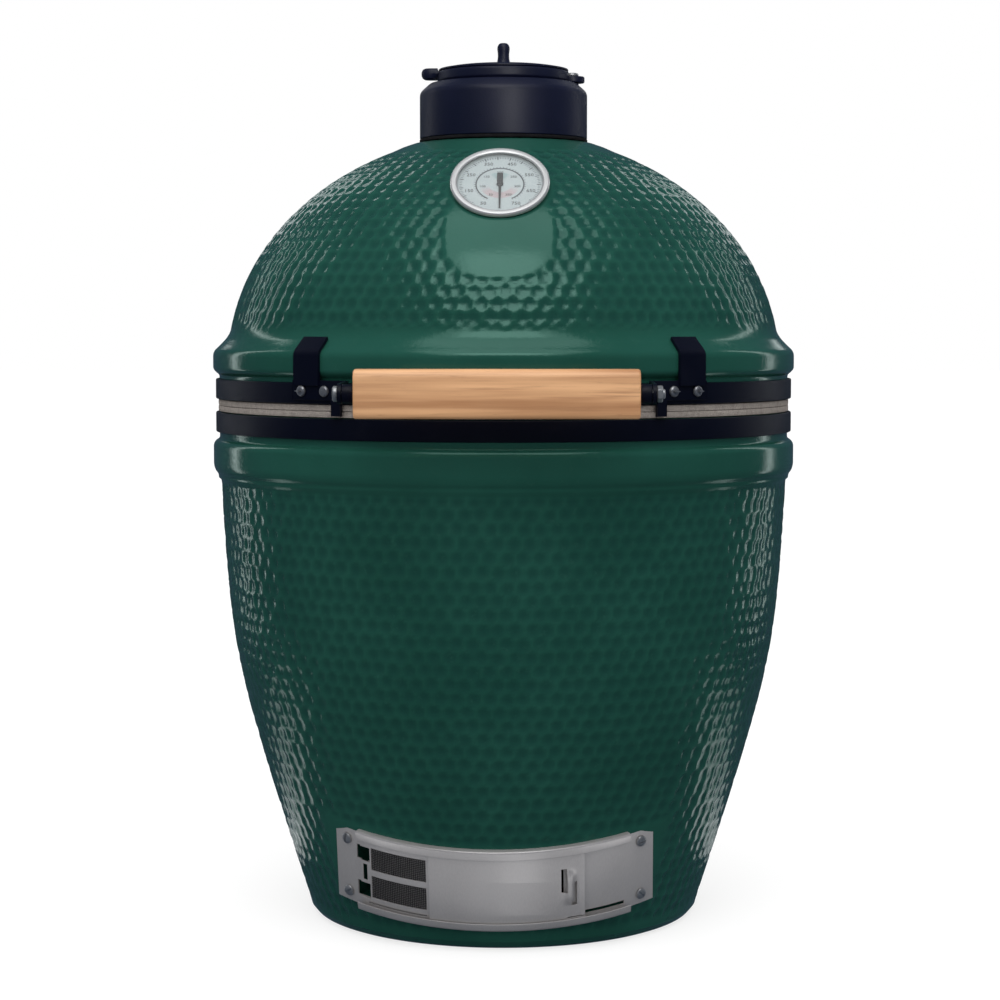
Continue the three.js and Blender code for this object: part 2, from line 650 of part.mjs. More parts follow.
add('draft_frame', draftFrame(), 'stainless', doorAxis);
screwPlaces().forEach((place, i) => add(`draft_screw_${i + 1}`, screw(place), 'stainless', doorAxis));
add('draft_slide', draftSlide(), 'stainless', doorAxis);
add('screen_slide', screenSlide(), 'stainless', doorAxis);
add('screen_mesh_upper', screenMesh(windowRows[0]), 'castIron', doorAxis);
add('screen_mesh_lower', screenMesh(windowRows[1]), 'castIron', doorAxis);

add('dome_shell', domeShell(), 'glaze');
add('dome_gasket', ring(feltInner, feltOuter, domeBottom - 0.3 - feltThick, domeBottom - 0.3, shellSides), 'felt');
add('handle_bracket_left', handleBracket(-1), 'blackSteel');
add('handle_bracket_right', handleBracket(1), 'blackSteel');
sides.flatMap((side) => bracketAngles.map((angle) => side * angle))
  .forEach((angle, i) => add(`bracket_bolt_${i + 1}`, bracketBolt(angle), 'blackSteel'));
add('handle_bar', handleBar(), 'wood');
add('handle_rod', handleRod(), 'stainless');
add('handle_nut', handleNut(), 'stainless');
add('handle_bush_left', handleBush(-1), 'blackSteel');
add('handle_bush_right', handleBush(1), 'blackSteel');

add('gauge_housing', gaugeHousing(), 'stainless', gaugeAxis);
add('gauge_dial', gaugeDial(), 'dial', gaugeAxis);
add('gauge_needle', gaugeNeedle(), 'needle', gaugeAxis);
add('gauge_lens', gaugeLens(), 'glass', gaugeAxis);
add('gauge_stem', gaugeStem(), 'stainless', gaugeAxis);
add('gauge_nut', gaugeNut(), 'stainless', gaugeAxis);

add('cap_seal', ring(neckRadius + 0.9, capRadius + 0.3, 724.6, capBottom - 0.3, ringSides), 'felt');
add('cap_collar', capCollar(), 'capPaint');
add('cap_pivot_pin', capPivotPin(), 'capPaint');
add('cap_swing_plate', capSwingPlate(), 'capPaint');
add('vent_wheel', ventWheel(), 'capPaint');
add('vent_knob', ventKnob(), 'capPaint');

export default grill;
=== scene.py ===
import bpy
import numpy as np
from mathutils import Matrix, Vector


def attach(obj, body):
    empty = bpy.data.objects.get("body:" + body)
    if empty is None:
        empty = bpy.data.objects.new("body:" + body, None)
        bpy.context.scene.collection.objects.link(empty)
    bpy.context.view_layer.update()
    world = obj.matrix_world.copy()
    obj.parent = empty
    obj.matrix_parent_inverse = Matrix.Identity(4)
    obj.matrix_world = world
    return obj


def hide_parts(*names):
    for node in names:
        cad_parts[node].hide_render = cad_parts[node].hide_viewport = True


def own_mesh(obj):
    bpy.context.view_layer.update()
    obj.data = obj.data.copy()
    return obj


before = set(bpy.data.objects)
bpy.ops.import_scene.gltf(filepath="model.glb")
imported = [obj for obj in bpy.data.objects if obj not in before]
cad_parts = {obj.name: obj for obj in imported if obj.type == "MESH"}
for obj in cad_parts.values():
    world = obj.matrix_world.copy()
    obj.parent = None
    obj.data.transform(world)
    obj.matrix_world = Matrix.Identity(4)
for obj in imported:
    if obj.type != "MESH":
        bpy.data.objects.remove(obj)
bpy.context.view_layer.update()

# ---------------------------------------------------------------- studio
# A camera a little above the middle, a white floor and a plain world light that stays dim in
# reflections. Two box lights hang in front, and narrow boxes and floor cards light both flanks.
# The cap and the draft door have small lights of their own for their soft bright stripes.

scene = bpy.context.scene
scene.view_settings.view_transform = "Standard"

camera_data = bpy.data.cameras.new("camera")
camera_data.lens = 89.8
camera_data.sensor_width = 36
camera_data.shift_x = -0.0035
camera = bpy.data.objects.new("camera", camera_data)
camera_turn = np.radians(1.0)
camera_away, camera_high = 2.3625, 0.5512
camera_tilt = np.radians(3.94)
camera.location = (camera_away * np.sin(camera_turn), -camera_away * np.cos(camera_turn), camera_high)
camera.rotation_euler = (np.pi / 2 - camera_tilt, 0, camera_turn)
scene.collection.objects.link(camera)
scene.camera = camera


class Link:
    """A socket in a node tree. Sums on it add Math nodes, and node() adds any other node."""

    def __init__(self, tree, socket=None):
        self.tree = tree
        self.socket = socket

    def node(self, kind, settings=None, inputs=None, output=0):
        made = self.tree.nodes.new("ShaderNode" + kind)
        for key, value in (settings or {}).items():
            if key == "stops":
                ramp = made.color_ramp.elements
                while len(ramp) < len(value):
                    ramp.new(0.5)
                for stop, (place, colour) in zip(ramp, value):
                    stop.position = place
                    stop.color = (*colour, 1)
            else:
                setattr(made, key, value)
        for key, value in (inputs or {}).items():
            if isinstance(value, Link):
                self.tree.links.new(value.socket, made.inputs[key])
            else:
                made.inputs[key].default_value = value
        return Link(self.tree, made.outputs[output])

    def math(self, operation, *values):
        return self.node("Math", {"operation": operation}, dict(enumerate(values)))

    def __add__(self, other):
        return self.math("ADD", self, other)

    def __radd__(self, other):
        return self.math("ADD", other, self)

    def __sub__(self, other):
        return self.math("SUBTRACT", self, other)

    def __rsub__(self, other):
        return self.math("SUBTRACT", other, self)

    def __mul__(self, other):
        return self.math("MULTIPLY", self, other)

    def __rmul__(self, other):
        return self.math("MULTIPLY", other, self)

    def step(self, low, high):
        """0 below low and 1 above high, with a smooth rise between."""
        settings = {"interpolation_type": "SMOOTHSTEP"}
        return self.node("MapRange", settings, {"Value": self, "From Min": low, "From Max": high})

    def mix(self, first, second):
        """The first colour where this is 0, the second where it is 1."""
        colours = {0: self, 6: (*first, 1) if isinstance(first, tuple) else first,
                   7: (*second, 1) if isinstance(second, tuple) else second}
        return self.node("Mix", {"data_type": "RGBA"}, colours, 2)

    def noise(self, scale, detail=2.0, stretch=(1, 1, 1), rough=0.5):
        """Noise on the piece's own coordinates, stretched by a scale for each direction."""
        place = self.node("TexCoord", output=3)
        place = self.node("Mapping", inputs={"Vector": place, "Scale": stretch})
        inputs = {"Vector": place, "Scale": scale, "Detail": detail, "Roughness": rough}
        return self.node("TexNoise", inputs=inputs)

    def bump(self, height, strength, distance):
        inputs = {"Height": height, "Strength": strength, "Distance": distance}
        return self.node("Bump", inputs=inputs)


def material(name, recipe):
    """A material whose Principled sockets come from recipe, a function of a bare Link."""
    made = bpy.data.materials.new(name)
    made.use_nodes = True
    shader = made.node_tree.nodes["Principled BSDF"]
    for key, value in recipe(Link(made.node_tree)).items():
        if isinstance(value, Link):
            made.node_tree.links.new(value.socket, shader.inputs[key])
        elif isinstance(value, tuple):
            shader.inputs[key].default_value = (*value, 1)
        else:
            shader.inputs[key].default_value = value
    return made


def floor_paint(start):
    """A matt floor that glows for the camera alone, so that it stays white to the horizon."""
    seen = start.node("LightPath", output=0)
    shade = start.noise(3.0, 3.0)
    return {"Base Color": shade.mix((0.3, 0.3, 0.3), (0.33, 0.33, 0.33)), "Roughness": 0.9,
            "Specular IOR Level": 0.0, "Emission Color": seen.mix((0, 0, 0), (0.74, 0.74, 0.74)),
            "Emission Strength": 1.0}


floor_mesh = bpy.data.meshes.new("floor")
floor_reach = 30.0
floor_corners = [(x * floor_reach, y * floor_reach, 0) for x, y in ((-1, -1), (1, -1), (1, 1), (-1, 1))]
floor_mesh.from_pydata(floor_corners, [], [(0, 1, 2, 3)])
floor_mesh.materials.append(material("floor_paint", floor_paint))
floor = bpy.data.objects.new("floor", floor_mesh)
floor.visible_glossy = False
scene.collection.objects.link(floor)

world = bpy.data.worlds.new("studio")
world.use_nodes = True
scene.world = world
sky = Link(world.node_tree)
seen = sky.node("LightPath", output=0)
glossy = sky.node("LightPath", output=3)
outwards = sky.node("TexCoord", output=0)
up = sky.node("SeparateXYZ", inputs={0: outwards}, output=2)
behind = sky.node("SeparateXYZ", inputs={0: outwards}, output=1)
fill = 0.16 + 0.85 * (1 - behind.step(-1.0, 0.0)) + 0.95 * up.step(0.0, 1.0)
strength = seen + (1 - seen) * (glossy * 0.07 + (1 - glossy) * fill)
tint = glossy.mix((1, 1, 1), (0.55, 0.85, 1.35))
background = world.node_tree.nodes["Background"]
world.node_tree.links.new(strength.socket, background.inputs["Strength"])
world.node_tree.links.new(tint.socket, background.inputs["Color"])


def box_light(name, place, target, width, height, radiance, only=None):
    """A flat soft light of an even brightness, turned from its place to its target.

    only is a collection of the pieces that it lights, when it doesn't light them all.
    """
    data = bpy.data.lights.new(name, "AREA")
    data.shape = "RECTANGLE"
    data.size = width
    data.size_y = height
    data.energy = radiance * np.pi * width * height
    light = bpy.data.objects.new(name, data)
    light.location = place
    light.rotation_euler = (Vector(place) - Vector(target)).to_track_quat("Z", "Y").to_euler()
    light.visible_camera = False
    if only:
        light.light_linking.receiver_collection = only
    scene.collection.objects.link(light)


box_light("front_box", (0, -1.1, 2.4), (0, -0.25, 0.6), 1.7, 2.3, 1.15)
box_light("key_box", (0, -1.4, 2.1), (0, -0.25, 0.6), 1.0, 0.9, 1.5)
for side_name, side in (("left", -1), ("right", 1)):
    box_light(f"{side_name}_box", (side * 1.5, 0.9, 0.85), (0, 0, 0.5), 0.14, 1.9, 2.2)
    box_light(f"{side_name}_rear_box", (side * 0.95, 2.0, 1.7), (0, 0, 0.65), 0.25, 1.3, 1.4)
    box_light(f"{side_name}_card", (side * 0.52, 0.1, 0.004), (side * 0.52, 0.1, 1), 0.5, 0.14, 0.85)
cap_pieces = bpy.data.collections.new("cap_pieces")
door_pieces = bpy.data.collections.new("door_pieces")
box_light("cap_strip", (0.42, -1.95, 0.95), (0, -0.08, 0.75), 0.6, 0.9, 5.0, cap_pieces)
for card, x, wide, glow in (("door_strip", 0.03, 0.06, 0.6), ("door_card", 0.0, 0.4, 0.3),
                            ("door_right_card", 0.44, 0.46, 1.0), ("door_left_card", -0.44, 0.46, 0.9)):
    box_light(card, (x, -0.42, 0.004), (x, -0.42, 1), wide, 0.38, glow, door_pieces)

# ---------------------------------------------------------------- base
# The lower half of the egg: thick ceramic, cast and fired with a dimpled green glaze, with a
# smooth lip at the top and an opening at the front for the draft. It stands on its foot.

MM = 0.001


def weld(points, faces):
    """The same shape without doubled points, with its faces turned outwards."""
    near = np.round(points[:, :3], 4)
    _, first, again = np.unique(near, axis=0, return_index=True, return_inverse=True)
    faces = again.reshape(-1)[faces]
    points = points[first]
    a, b, c, d = (points[faces[:, i], :3] for i in range(4))
    volume = np.sum(a * np.cross(b, c)) + np.sum(a * np.cross(c, d))
    return points, faces if volume > 0 else faces[:, ::-1]


def grid_faces(rows, columns, loop):
    """The four corners of every cell of a grid whose rows are closed outlines.

    With loop, the last row joins the first.
    """
    i = np.arange(rows if loop else rows - 1)[:, None]
    j = np.arange(columns)[None, :]
    down = (i + 1) % rows
    right = (j + 1) % columns
    corners = (i * columns + j, i * columns + right, down * columns + right, down * columns + j)
    return np.stack(np.broadcast_arrays(*corners), axis=-1).reshape(-1, 4)


def carried(grid, loop=False):
    """A closed shape from a grid of points, one row for each step along the shape's length.

    Without loop, both ends are closed by joining the row's points in pairs, first to last.
    """
    rows, columns = grid.shape[:2]
    faces = [grid_faces(rows, columns, loop)]
    if not loop:
        k = np.arange(columns // 2)
        cap = np.stack([k, k + 1, columns - 2 - k, columns - 1 - k], axis=-1)
        cap = cap[cap[:, 1] <= cap[:, 2]]
        faces += [cap, cap[:, ::-1] + (rows - 1) * columns]
    return weld(grid.reshape(-1, 3), np.concatenate(faces))


def moved(points, matrix):
    """The points carried along by a 4 by 4 matrix, if there is one."""
    return points if matrix is None else points @ matrix[:3, :3].T + matrix[:3, 3]


def turned(profile, columns, start=0.0, end=360.0, matrix=None):
    """A profile of [radius, height] pairs goes round Z: x = r sin a and y = -r cos a.

    Over a full turn it meets itself. A shorter one is closed at both ends.
    """
    profile = np.asarray(profile, float)
    whole = abs(end - start) >= 360
    angle = np.radians(np.linspace(start, end, columns, endpoint=not whole))[:, None]
    r, z = profile[:, 0], profile[:, 1]
    grid = np.stack([r * np.sin(angle), -r * np.cos(angle), z + 0 * angle], axis=-1)
    return carried(moved(grid, matrix), whole)


def oblong(left, right, low, high):
    """The corners of a rectangle."""
    return [[left, low], [right, low], [right, high], [left, high]]


def strip(outline, low, high, place=None):
    """A flat plate between two heights: an outline whose points pair off from first to last."""
    outline = np.asarray(outline, float)
    ends = np.broadcast_to(outline, (2, *outline.shape))
    z = np.broadcast_to(np.array([low, high], float)[:, None, None], (2, len(outline), 1))
    return carried(moved(np.concatenate([ends, z], axis=2), place))


def rounded(corners, cut, steps=4, closed=True):
    """Each corner of an outline is cut back by a length and bridged with a parabola."""
    corners = np.asarray(corners, float)
    cut = np.broadcast_to(np.asarray(cut, float), len(corners)).copy()
    before = np.roll(corners, 1, axis=0) - corners
    after = np.roll(corners, -1, axis=0) - corners
    long_before = np.linalg.norm(before, axis=1) + 1e-9
    long_after = np.linalg.norm(after, axis=1) + 1e-9
    cut = np.minimum(cut, 0.49 * np.minimum(long_before, long_after))
    if not closed:
        cut[[0, -1]] = 0
    first = corners + before * (cut / long_before)[:, None]
    last = corners + after * (cut / long_after)[:, None]
    t = np.linspace(0, 1, steps + 1)[None, :, None]
    curve = (1 - t) ** 2 * first[:, None] + t ** 2 * last[:, None]
    return (curve + 2 * t * (1 - t) * corners[:, None]).reshape(-1, 2)


def make_mesh(name, shapes):
    """One mesh from closed shapes, each of them points and faces in millimetres.

    A fourth number with each point becomes the mesh's pool attribute.
    """
    count = np.cumsum([0] + [len(points) for points, _ in shapes])
    points = np.concatenate([points for points, _ in shapes])
    faces = np.concatenate([faces + start for (_, faces), start in zip(shapes, count)])
    keep = faces != np.roll(faces, -1, axis=1)
    faces, keep = faces[keep.sum(1) > 2], keep[keep.sum(1) > 2]
    corners = faces[keep]
    mesh = bpy.data.meshes.new(name)
    mesh.vertices.add(len(points))
    mesh.vertices.foreach_set("co", (points[:, :3] * MM).astype(np.float32).ravel())
    mesh.loops.add(len(corners))
    mesh.loops.foreach_set("vertex_index", corners.astype(np.int32))
    mesh.polygons.add(len(faces))
    starts = np.concatenate([[0], np.cumsum(keep.sum(1))[:-1]])
    mesh.polygons.foreach_set("loop_start", starts.astype(np.int32))
    mesh.update(calc_edges=True)
    if points.shape[1] > 3:
        pool = mesh.attributes.new("pool", "FLOAT", "POINT")
        pool.data.foreach_set("value", points[:, 3].astype(np.float32))
    mesh.validate()
    return mesh


def piece(name, shapes, finish, body, replaced=(), cutters=(), bevel=0.0, sharp=32):
    """A finished piece: its shapes less its cutters, its material and what it stands for."""
    mesh = make_mesh(name, shapes)
    made = bpy.data.objects.new(name, mesh)
    scene.collection.objects.link(made)
    if cutters:
        tool = bpy.data.objects.new("tool", make_mesh("tool", cutters))
        scene.collection.objects.link(tool)
        boolean = made.modifiers.new("cut", "BOOLEAN")
        boolean.object = tool
        boolean.solver = "EXACT"
        boolean.use_self = len(shapes) > 1
        ready = made.evaluated_get(bpy.context.evaluated_depsgraph_get())
        made.data = bpy.data.meshes.new_from_object(ready)
        made.modifiers.clear()
        made.data.validate()
        bpy.data.objects.remove(tool)
    mesh = made.data
    mesh.polygons.foreach_set("use_smooth", np.ones(len(mesh.polygons), bool))
    mesh.set_sharp_from_angle(angle=np.radians(sharp))
    mesh.materials.clear()
    mesh.materials.append(finish)
    if bevel:
        edge = made.modifiers.new("edge", "BEVEL")
        edge.width = bevel * MM
        edge.segments = 2
        edge.limit_method = "ANGLE"
        edge.angle_limit = np.radians(sharp)
        edge.use_clamp_overlap = True
    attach(made, body)
    if replaced:
        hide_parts(*replaced)
    return made


def repaint(finish, *nodes):
    """CAD nodes whose shape is already right get their finish."""
    for node in nodes:
        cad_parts[node].material_slots[0].material = finish


def glaze(start):
    """Green glaze that pools darker in the dimples. Where pool is 2 the clay is bare and sooty, and in the
    hollows behind the draft door the same dark colour is painted shade.
    """
    pool = start.node("Attribute", {"attribute_name": "pool"}, output=2)
    patches = start.noise(9.0, 3.0)
    specks = start.noise(160.0, 3.0, rough=0.7)
    colour = patches.step(0.3, 0.7).mix((0.011, 0.063, 0.045), (0.0145, 0.077, 0.056))
    colour = (pool * 0.6).mix(colour, (0.0065, 0.037, 0.031))
    colour = (specks.step(0.58, 0.75) * 0.35).mix(colour, (0.018, 0.086, 0.062))
    # bare: unglazed sooty clay inside the shell, and painted shade on the faces of the hollows behind the
    # door
    bare = pool.step(1.2, 1.6)
    colour = bare.mix(colour, (0.017, 0.0155, 0.014))
    height = start.noise(300.0, 2.0) + 0.35 * start.noise(1400.0, 2.0)
    return {"Base Color": colour, "Roughness": 0.12 + 0.1 * specks.step(0.4, 0.8) + 0.7 * bare,
            "Normal": start.bump(height, 0.35, 0.00025), "Specular IOR Level": 0.62,
            "Specular Tint": (0.55, 1.0, 0.85)}


green_glaze = material("green_glaze", glaze)


def smooth_step(x, low, high):
    """0 below low and 1 above high, with the cubic 3 t^2 - 2 t^3 between."""
    t = np.clip((x - low) / (high - low), 0, 1)
    return t * t * (3 - 2 * t)


def base_radius(z):
    """Two straight walls joined by a smooth bend."""
    upper = 268.9 - 0.0315 * (410 - z)
    lower = 182.5 + 0.3276 * z
    return (upper + lower) / 2 - np.hypot((upper - lower) / 2, 12.2)


def even_steps(curve, pitch):
    """The points of a curve spaced evenly along it."""
    along = np.concatenate([[0], np.cumsum(np.linalg.norm(np.diff(curve, axis=0), axis=1))])
    wanted = np.linspace(0, along[-1], int(round(along[-1] / pitch)) + 1)
    return np.stack([np.interp(wanted, along, curve[:, k]) for k in (0, 1)], axis=-1)


def dimples(along, angle, radius, pitch, row_radius):
    """How deep each point lies in its nearest dimple, from 0 on a ridge to 1 at the bottom.

    Dimples stand in rows, a whole number to each row, and every other row is set half a
    dimple on. A sine of the row and place numbers shifts each a little.
    """
    row_height = pitch * 0.87
    nearest = np.full(np.broadcast(along, angle).shape, 9.0)
    for step in (-1, 0, 1):
        row = np.round(along / row_height) + step
        count = np.maximum(np.round(2 * np.pi * row_radius(row * row_height) / pitch), 6)
        place = angle / (2 * np.pi) * count - 0.5 * (row % 2)
        number = np.round(place)
        wobble = np.sin((number % count) * 12.9898 + row * 78.233) * 43758.5453
        wobble = (wobble - np.floor(wobble)) - 0.5
        other = np.sin((number % count) * 39.346 + row * 11.135) * 24634.6345
        other = (other - np.floor(other)) - 0.5
        across = (place - number - 0.22 * wobble) * 2 * np.pi * radius / count
        up = along - (row + 0.19 * other) * row_height
        nearest = np.minimum(nearest, np.hypot(across, up) / (0.56 * pitch) * (1 + 0.12 * wobble))
    return np.clip(1 - nearest ** 2, 0, 1) * smooth_step(1 - nearest, -0.02, 0.25)


def shell(profile, columns, dimpled, bare, pitch, depth, full, press=None):
    """A turned shell with dimples pressed square to its surface, and how deep each point lies.

    profile is [radius, height] pairs, dimpled the slice of them that has dimples and bare the
    slice without glaze. full gives 1 for each point where the dimples have their full depth,
    and less where they fade.
    """
    angle = np.linspace(0, 2 * np.pi, columns, endpoint=False)[None, :]
    r, z = profile[:, :1], profile[:, 1:]
    slope = np.gradient(profile, axis=0)
    slope /= np.linalg.norm(slope, axis=1)[:, None] + 1e-9
    part = profile[dimpled]
    along = np.concatenate([[0], np.cumsum(np.linalg.norm(np.diff(part, axis=0), axis=1))])
    pool = np.zeros((len(profile), columns))
    pool[dimpled] = dimples(along[:, None], angle, part[:, :1], pitch,
                            lambda s: np.interp(s, along, part[:, 0]))
    pool[dimpled] *= full(part[:, :1], part[:, 1:], angle)
    push = pool * depth
    pool[bare] = 2
    r = r - push * slope[:, 1:]
    z = z + push * slope[:, :1]
    grid = np.stack([r * np.sin(angle), -r * np.cos(angle), z + 0 * angle], axis=-1)
    if press is not None:
        grid = press(grid)
    points = np.concatenate([grid, pool[..., None]], axis=-1).reshape(-1, 4)
    return weld(points, grid_faces(len(profile), columns, True))


def matrix(turn_z=0.0, place=(0, 0, 0), turn_x=0.0, turn_y=0.0):
    """Turns about X, then Y, moves, then turns about Z. Degrees and millimetres."""
    x, y, z = np.radians([turn_x, turn_y, turn_z])
    about_x = np.array([[1, 0, 0], [0, np.cos(x), -np.sin(x)], [0, np.sin(x), np.cos(x)]])
    about_y = np.array([[np.cos(y), 0, np.sin(y)], [0, 1, 0], [-np.sin(y), 0, np.cos(y)]])
    about_z = np.array([[np.cos(z), -np.sin(z), 0], [np.sin(z), np.cos(z), 0], [0, 0, 1]])
    made = np.eye(4)
    made[:3, :3] = about_z @ about_y @ about_x
    made[:3, 3] = about_z @ np.array(place, float)
    return made


# The draft door's own frame: its Z runs up the wall and its -Y points out of the wall.
door_radius, door_turn, door_lean = 216.0, -2, 17.2
door_y, door_z = -201, 59
in_door = matrix(door_turn, (0, door_y + door_radius * np.cos(np.radians(door_lean)),
                             door_z + door_radius * np.sin(np.radians(door_lean))), door_lean)

dimple_depth = 1.35
base_wall = 27
wall = np.arange(8.5, 411, 0.5)
base_outside = even_steps(np.stack([base_radius(wall), wall], axis=-1), 2.8)
base_foot = rounded([[0, 0], [172, 0], [178.5, 2.5], [183.4, 8.4]], 1.5, 3, closed=False)
base_lip = rounded([[268.2, 412.5], [268.6, 416], [271.4, 419.5], [272.8, 424.5], [272.8, 443.5],
                    [270.8, 446.8], [267, 449], [267, 474.3], [244, 474.3], [234, 462]], 2.2, 4, closed=False)
inside = np.arange(440, 50, -19.0)
base_inside = np.stack([base_radius(inside) - base_wall, inside], axis=-1)
base_floor = np.array([[146, 30], [70, 30], [0, 30]])
base_profile = np.concatenate([base_foot, base_outside, base_lip, base_inside, base_floor])
base_dimpled = slice(len(base_foot), len(base_foot) + len(base_outside))
base_bare = slice(-len(base_inside) - len(base_floor), None)


def base_dimples_fade(r, z, angle):
    """Full depth, but smooth at the foot, under the lip and round the draft door."""
    turn = np.degrees((angle + np.pi) % (2 * np.pi) - np.pi)
    height = (z - door_z - np.maximum(0, 1 - np.cos(np.radians(turn))) * 62) / 39
    beside = np.maximum(np.abs(turn - door_turn) / 45, np.abs(height))
    return smooth_step(z, 12, 20) * smooth_step(-z, -411, -404) * smooth_step(beside, 0.97, 1.1)


glazed_base = shell(base_profile, 560, base_dimpled, base_bare, 14.2, dimple_depth, base_dimples_fade)
# Hollows behind the door's notches, slits and finger pull, by angle and height. Their faces are painted dark
# as painted shade, so the notches look black.
hollows = [(-36, -29.8, -34, 26), (-29.3, -14, -34, -28), (16, 34, -34, -26)]
cuts = [turned(oblong(190, 218, low, high), 8, left, right, in_door) for left, right, low, high in hollows]
cuts.append(strip(oblong(-46, 78, -260, -120), -22, 22, in_door))
# Every cut face gets pool 2, the dark bare clay colour: sooty clay in the draft opening, painted shade in the
# hollows behind the door.
soot_and_shade_cuts = [(np.insert(points, 3, 2.0, axis=1), faces) for points, faces in cuts]
piece("glazed_base", [glazed_base], green_glaze, "base", ["base_shell"], soot_and_shade_cuts, sharp=50)

# ---------------------------------------------------------------- fire box, ring, grate and grid
# Loose inner parts that stack inside the base: two rings of bare fire clay, a cast iron grate
# for the charcoal and a round grid of plated wires for the food. All lift out by hand.


def fire_clay(start):
    grain = start.noise(220.0, 5.0, rough=0.7)
    soot = start.noise(14.0, 4.0, (1, 1, 0.6))
    colour = grain.step(0.3, 0.7).mix((0.38, 0.31, 0.22), (0.55, 0.46, 0.35))
    colour = (soot.step(0.42, 0.7) * 0.8).mix(colour, (0.06, 0.05, 0.045))
    return {"Base Color": colour, "Roughness": 0.92, "Normal": start.bump(grain, 0.5, 0.0008)}


def cast_iron_face(start):
    grain = start.noise(500.0, 4.0, rough=0.7)
    ash = start.noise(30.0, 4.0)
    colour = ash.step(0.5, 0.75).mix((0.022, 0.022, 0.024), (0.09, 0.085, 0.08))
    return {"Base Color": colour, "Roughness": 0.75, "Metallic": 0.35,
            "Normal": start.bump(grain, 0.6, 0.0006)}


def plated_wire(start):
    heat = start.noise(12.0, 3.0)
    colour = heat.step(0.4, 0.75).mix((0.62, 0.61, 0.59), (0.42, 0.36, 0.29))
    return {"Base Color": colour, "Roughness": 0.24 + 0.2 * heat, "Metallic": 0.9,
            "Normal": start.bump(start.noise(700.0), 0.15, 0.0002)}


bare_clay = material("bare_clay", fire_clay)
cast_iron = material("cast_iron", cast_iron_face)
bright_wire = material("bright_wire", plated_wire)
repaint(bare_clay, "fire_box_lower", "fire_box_upper")
repaint(cast_iron, "charcoal_grate")

ring_wall = np.linspace(285.4, 438, 14)
ring_outside = np.stack([base_radius(ring_wall) - base_wall - 6, ring_wall], axis=-1)
ring_inside = np.array([[214, 438], [207, 350], [202, 285.4]])
fire_ring_profile = np.concatenate([ring_outside, rounded(ring_inside, 3, 3, closed=False)])
piece("fire_clay_ring", [turned(rounded(fire_ring_profile, 2, 2), 160)], bare_clay, "base",
      ["fire_ring"])


def tube(path, radius, sides, across=(0, 0, 1), loop=False):
    """A round bar along a path: each ring of points lies square to the path there.

    across is a direction that the path never follows, for all of it or for each point.
    """
    path = np.asarray(path, float)
    ahead = np.roll(path, -1, axis=0) - np.roll(path, 1, axis=0) if loop else np.gradient(path, axis=0)
    ahead /= np.linalg.norm(ahead, axis=1)[:, None]
    side = np.cross(ahead, np.broadcast_to(np.asarray(across, float), path.shape))
    side /= np.linalg.norm(side, axis=1)[:, None]
    out = np.cross(side, ahead)
    turn = np.linspace(0, 2 * np.pi, sides, endpoint=False)[None, :, None]
    size = np.broadcast_to(np.asarray(radius, float), len(path))[:, None, None]
    grid = path[:, None] + size * (np.cos(turn) * side[:, None] + np.sin(turn) * out[:, None])
    if not loop:
        centre = np.broadcast_to(path[[0, -1], None], (2, sides, 3))
        grid = np.concatenate([centre[:1], grid, centre[1:]])
    return carried(grid, loop)


def bar(start, end, radius, sides):
    """A straight round bar with chamfered ends."""
    chamfer = 0.4
    start, end = np.asarray(start, float), np.asarray(end, float)
    along = (end - start) / np.linalg.norm(end - start)
    path = [start, start + along * chamfer, end - along * chamfer, end]
    return tube(path, [radius - chamfer, radius, radius, radius - chamfer], sides)


grid_low, grid_reach, hoop_wire = 438.4, 227.0, 2.5
hoop_reach = grid_reach - hoop_wire
hoop_turn = np.linspace(0, 2 * np.pi, 160, endpoint=False)
hoop_path = np.stack([hoop_reach * np.cos(hoop_turn), hoop_reach * np.sin(hoop_turn),
                      grid_low + hoop_wire + 0 * hoop_turn], axis=-1)
grid_parts = [tube(hoop_path, hoop_wire, 12, loop=True)]
for x in np.linspace(-208, 208, 27):
    half = np.sqrt(hoop_reach ** 2 - x * x)
    grid_parts.append(bar((x, -half, grid_low + 3.1), (x, half, grid_low + 3.1), 1.8, 8))
for y in (-95, 95):
    half = np.sqrt((grid_reach - 3.5) ** 2 - y * y) - 20
    grid_parts.append(bar((-half, y, grid_low - 1.2), (half, y, grid_low - 1.2), 2.4, 10))
piece("wire_grid", grid_parts, bright_wire, "base", ["cooking_grid"])

# ---------------------------------------------------------------- felt gaskets
# Two strips of grey felt glued to the rims, one on the base and one on the dome. They meet
# when the lid is down and seal the smoke in.


def felt_fibres(start, deep=(0.22, 0.195, 0.175), pale=(0.58, 0.52, 0.48)):
    """Matted strands between a deep and a pale shade."""
    strands = start.noise(900.0, 4.0, (1, 1, 2.2), 0.75)
    tufts = start.noise(170.0, 3.0)
    colour = strands.step(0.32, 0.7).mix(deep, pale)
    colour = (tufts.step(0.45, 0.75) * 0.5).mix(colour, deep)
    return {"Base Color": colour, "Roughness": 0.97, "Specular IOR Level": 0.15,
            "Normal": start.bump(strands + 0.7 * tufts, 0.9, 0.0012)}


grey_felt = material("grey_felt", felt_fibres)


def felt_strip(low, high):
    """A flat ring with edges that bulge and waver by a few tenths of a millimetre."""
    corners = [[245, low], [267.7, low], [267.9, (low + high) / 2], [267.7, high], [245, high]]
    points, faces = turned(rounded(corners, 0.4, 3), 480)
    turn = np.arctan2(points[:, 0], -points[:, 1])
    waver = 0.12 * np.sin(37 * turn) + 0.1 * np.sin(91 * turn + 1.3) + 0.08 * np.sin(203 * turn)
    spread = (1 + waver / 268)[:, None]
    return np.hstack([points[:, :2] * spread, points[:, 2:]]), faces


piece("base_felt", [felt_strip(474.6, 479.8)], grey_felt, "base", ["base_gasket"], sharp=60)
piece("dome_felt", [felt_strip(480.2, 485.4)], grey_felt, "lid", ["dome_gasket"], sharp=60)

# ---------------------------------------------------------------- bands
# Two hoops of powder-coated steel strip, one round each shell. Each is split behind, where a
# bolt through two turned-out lugs pulls it tight.


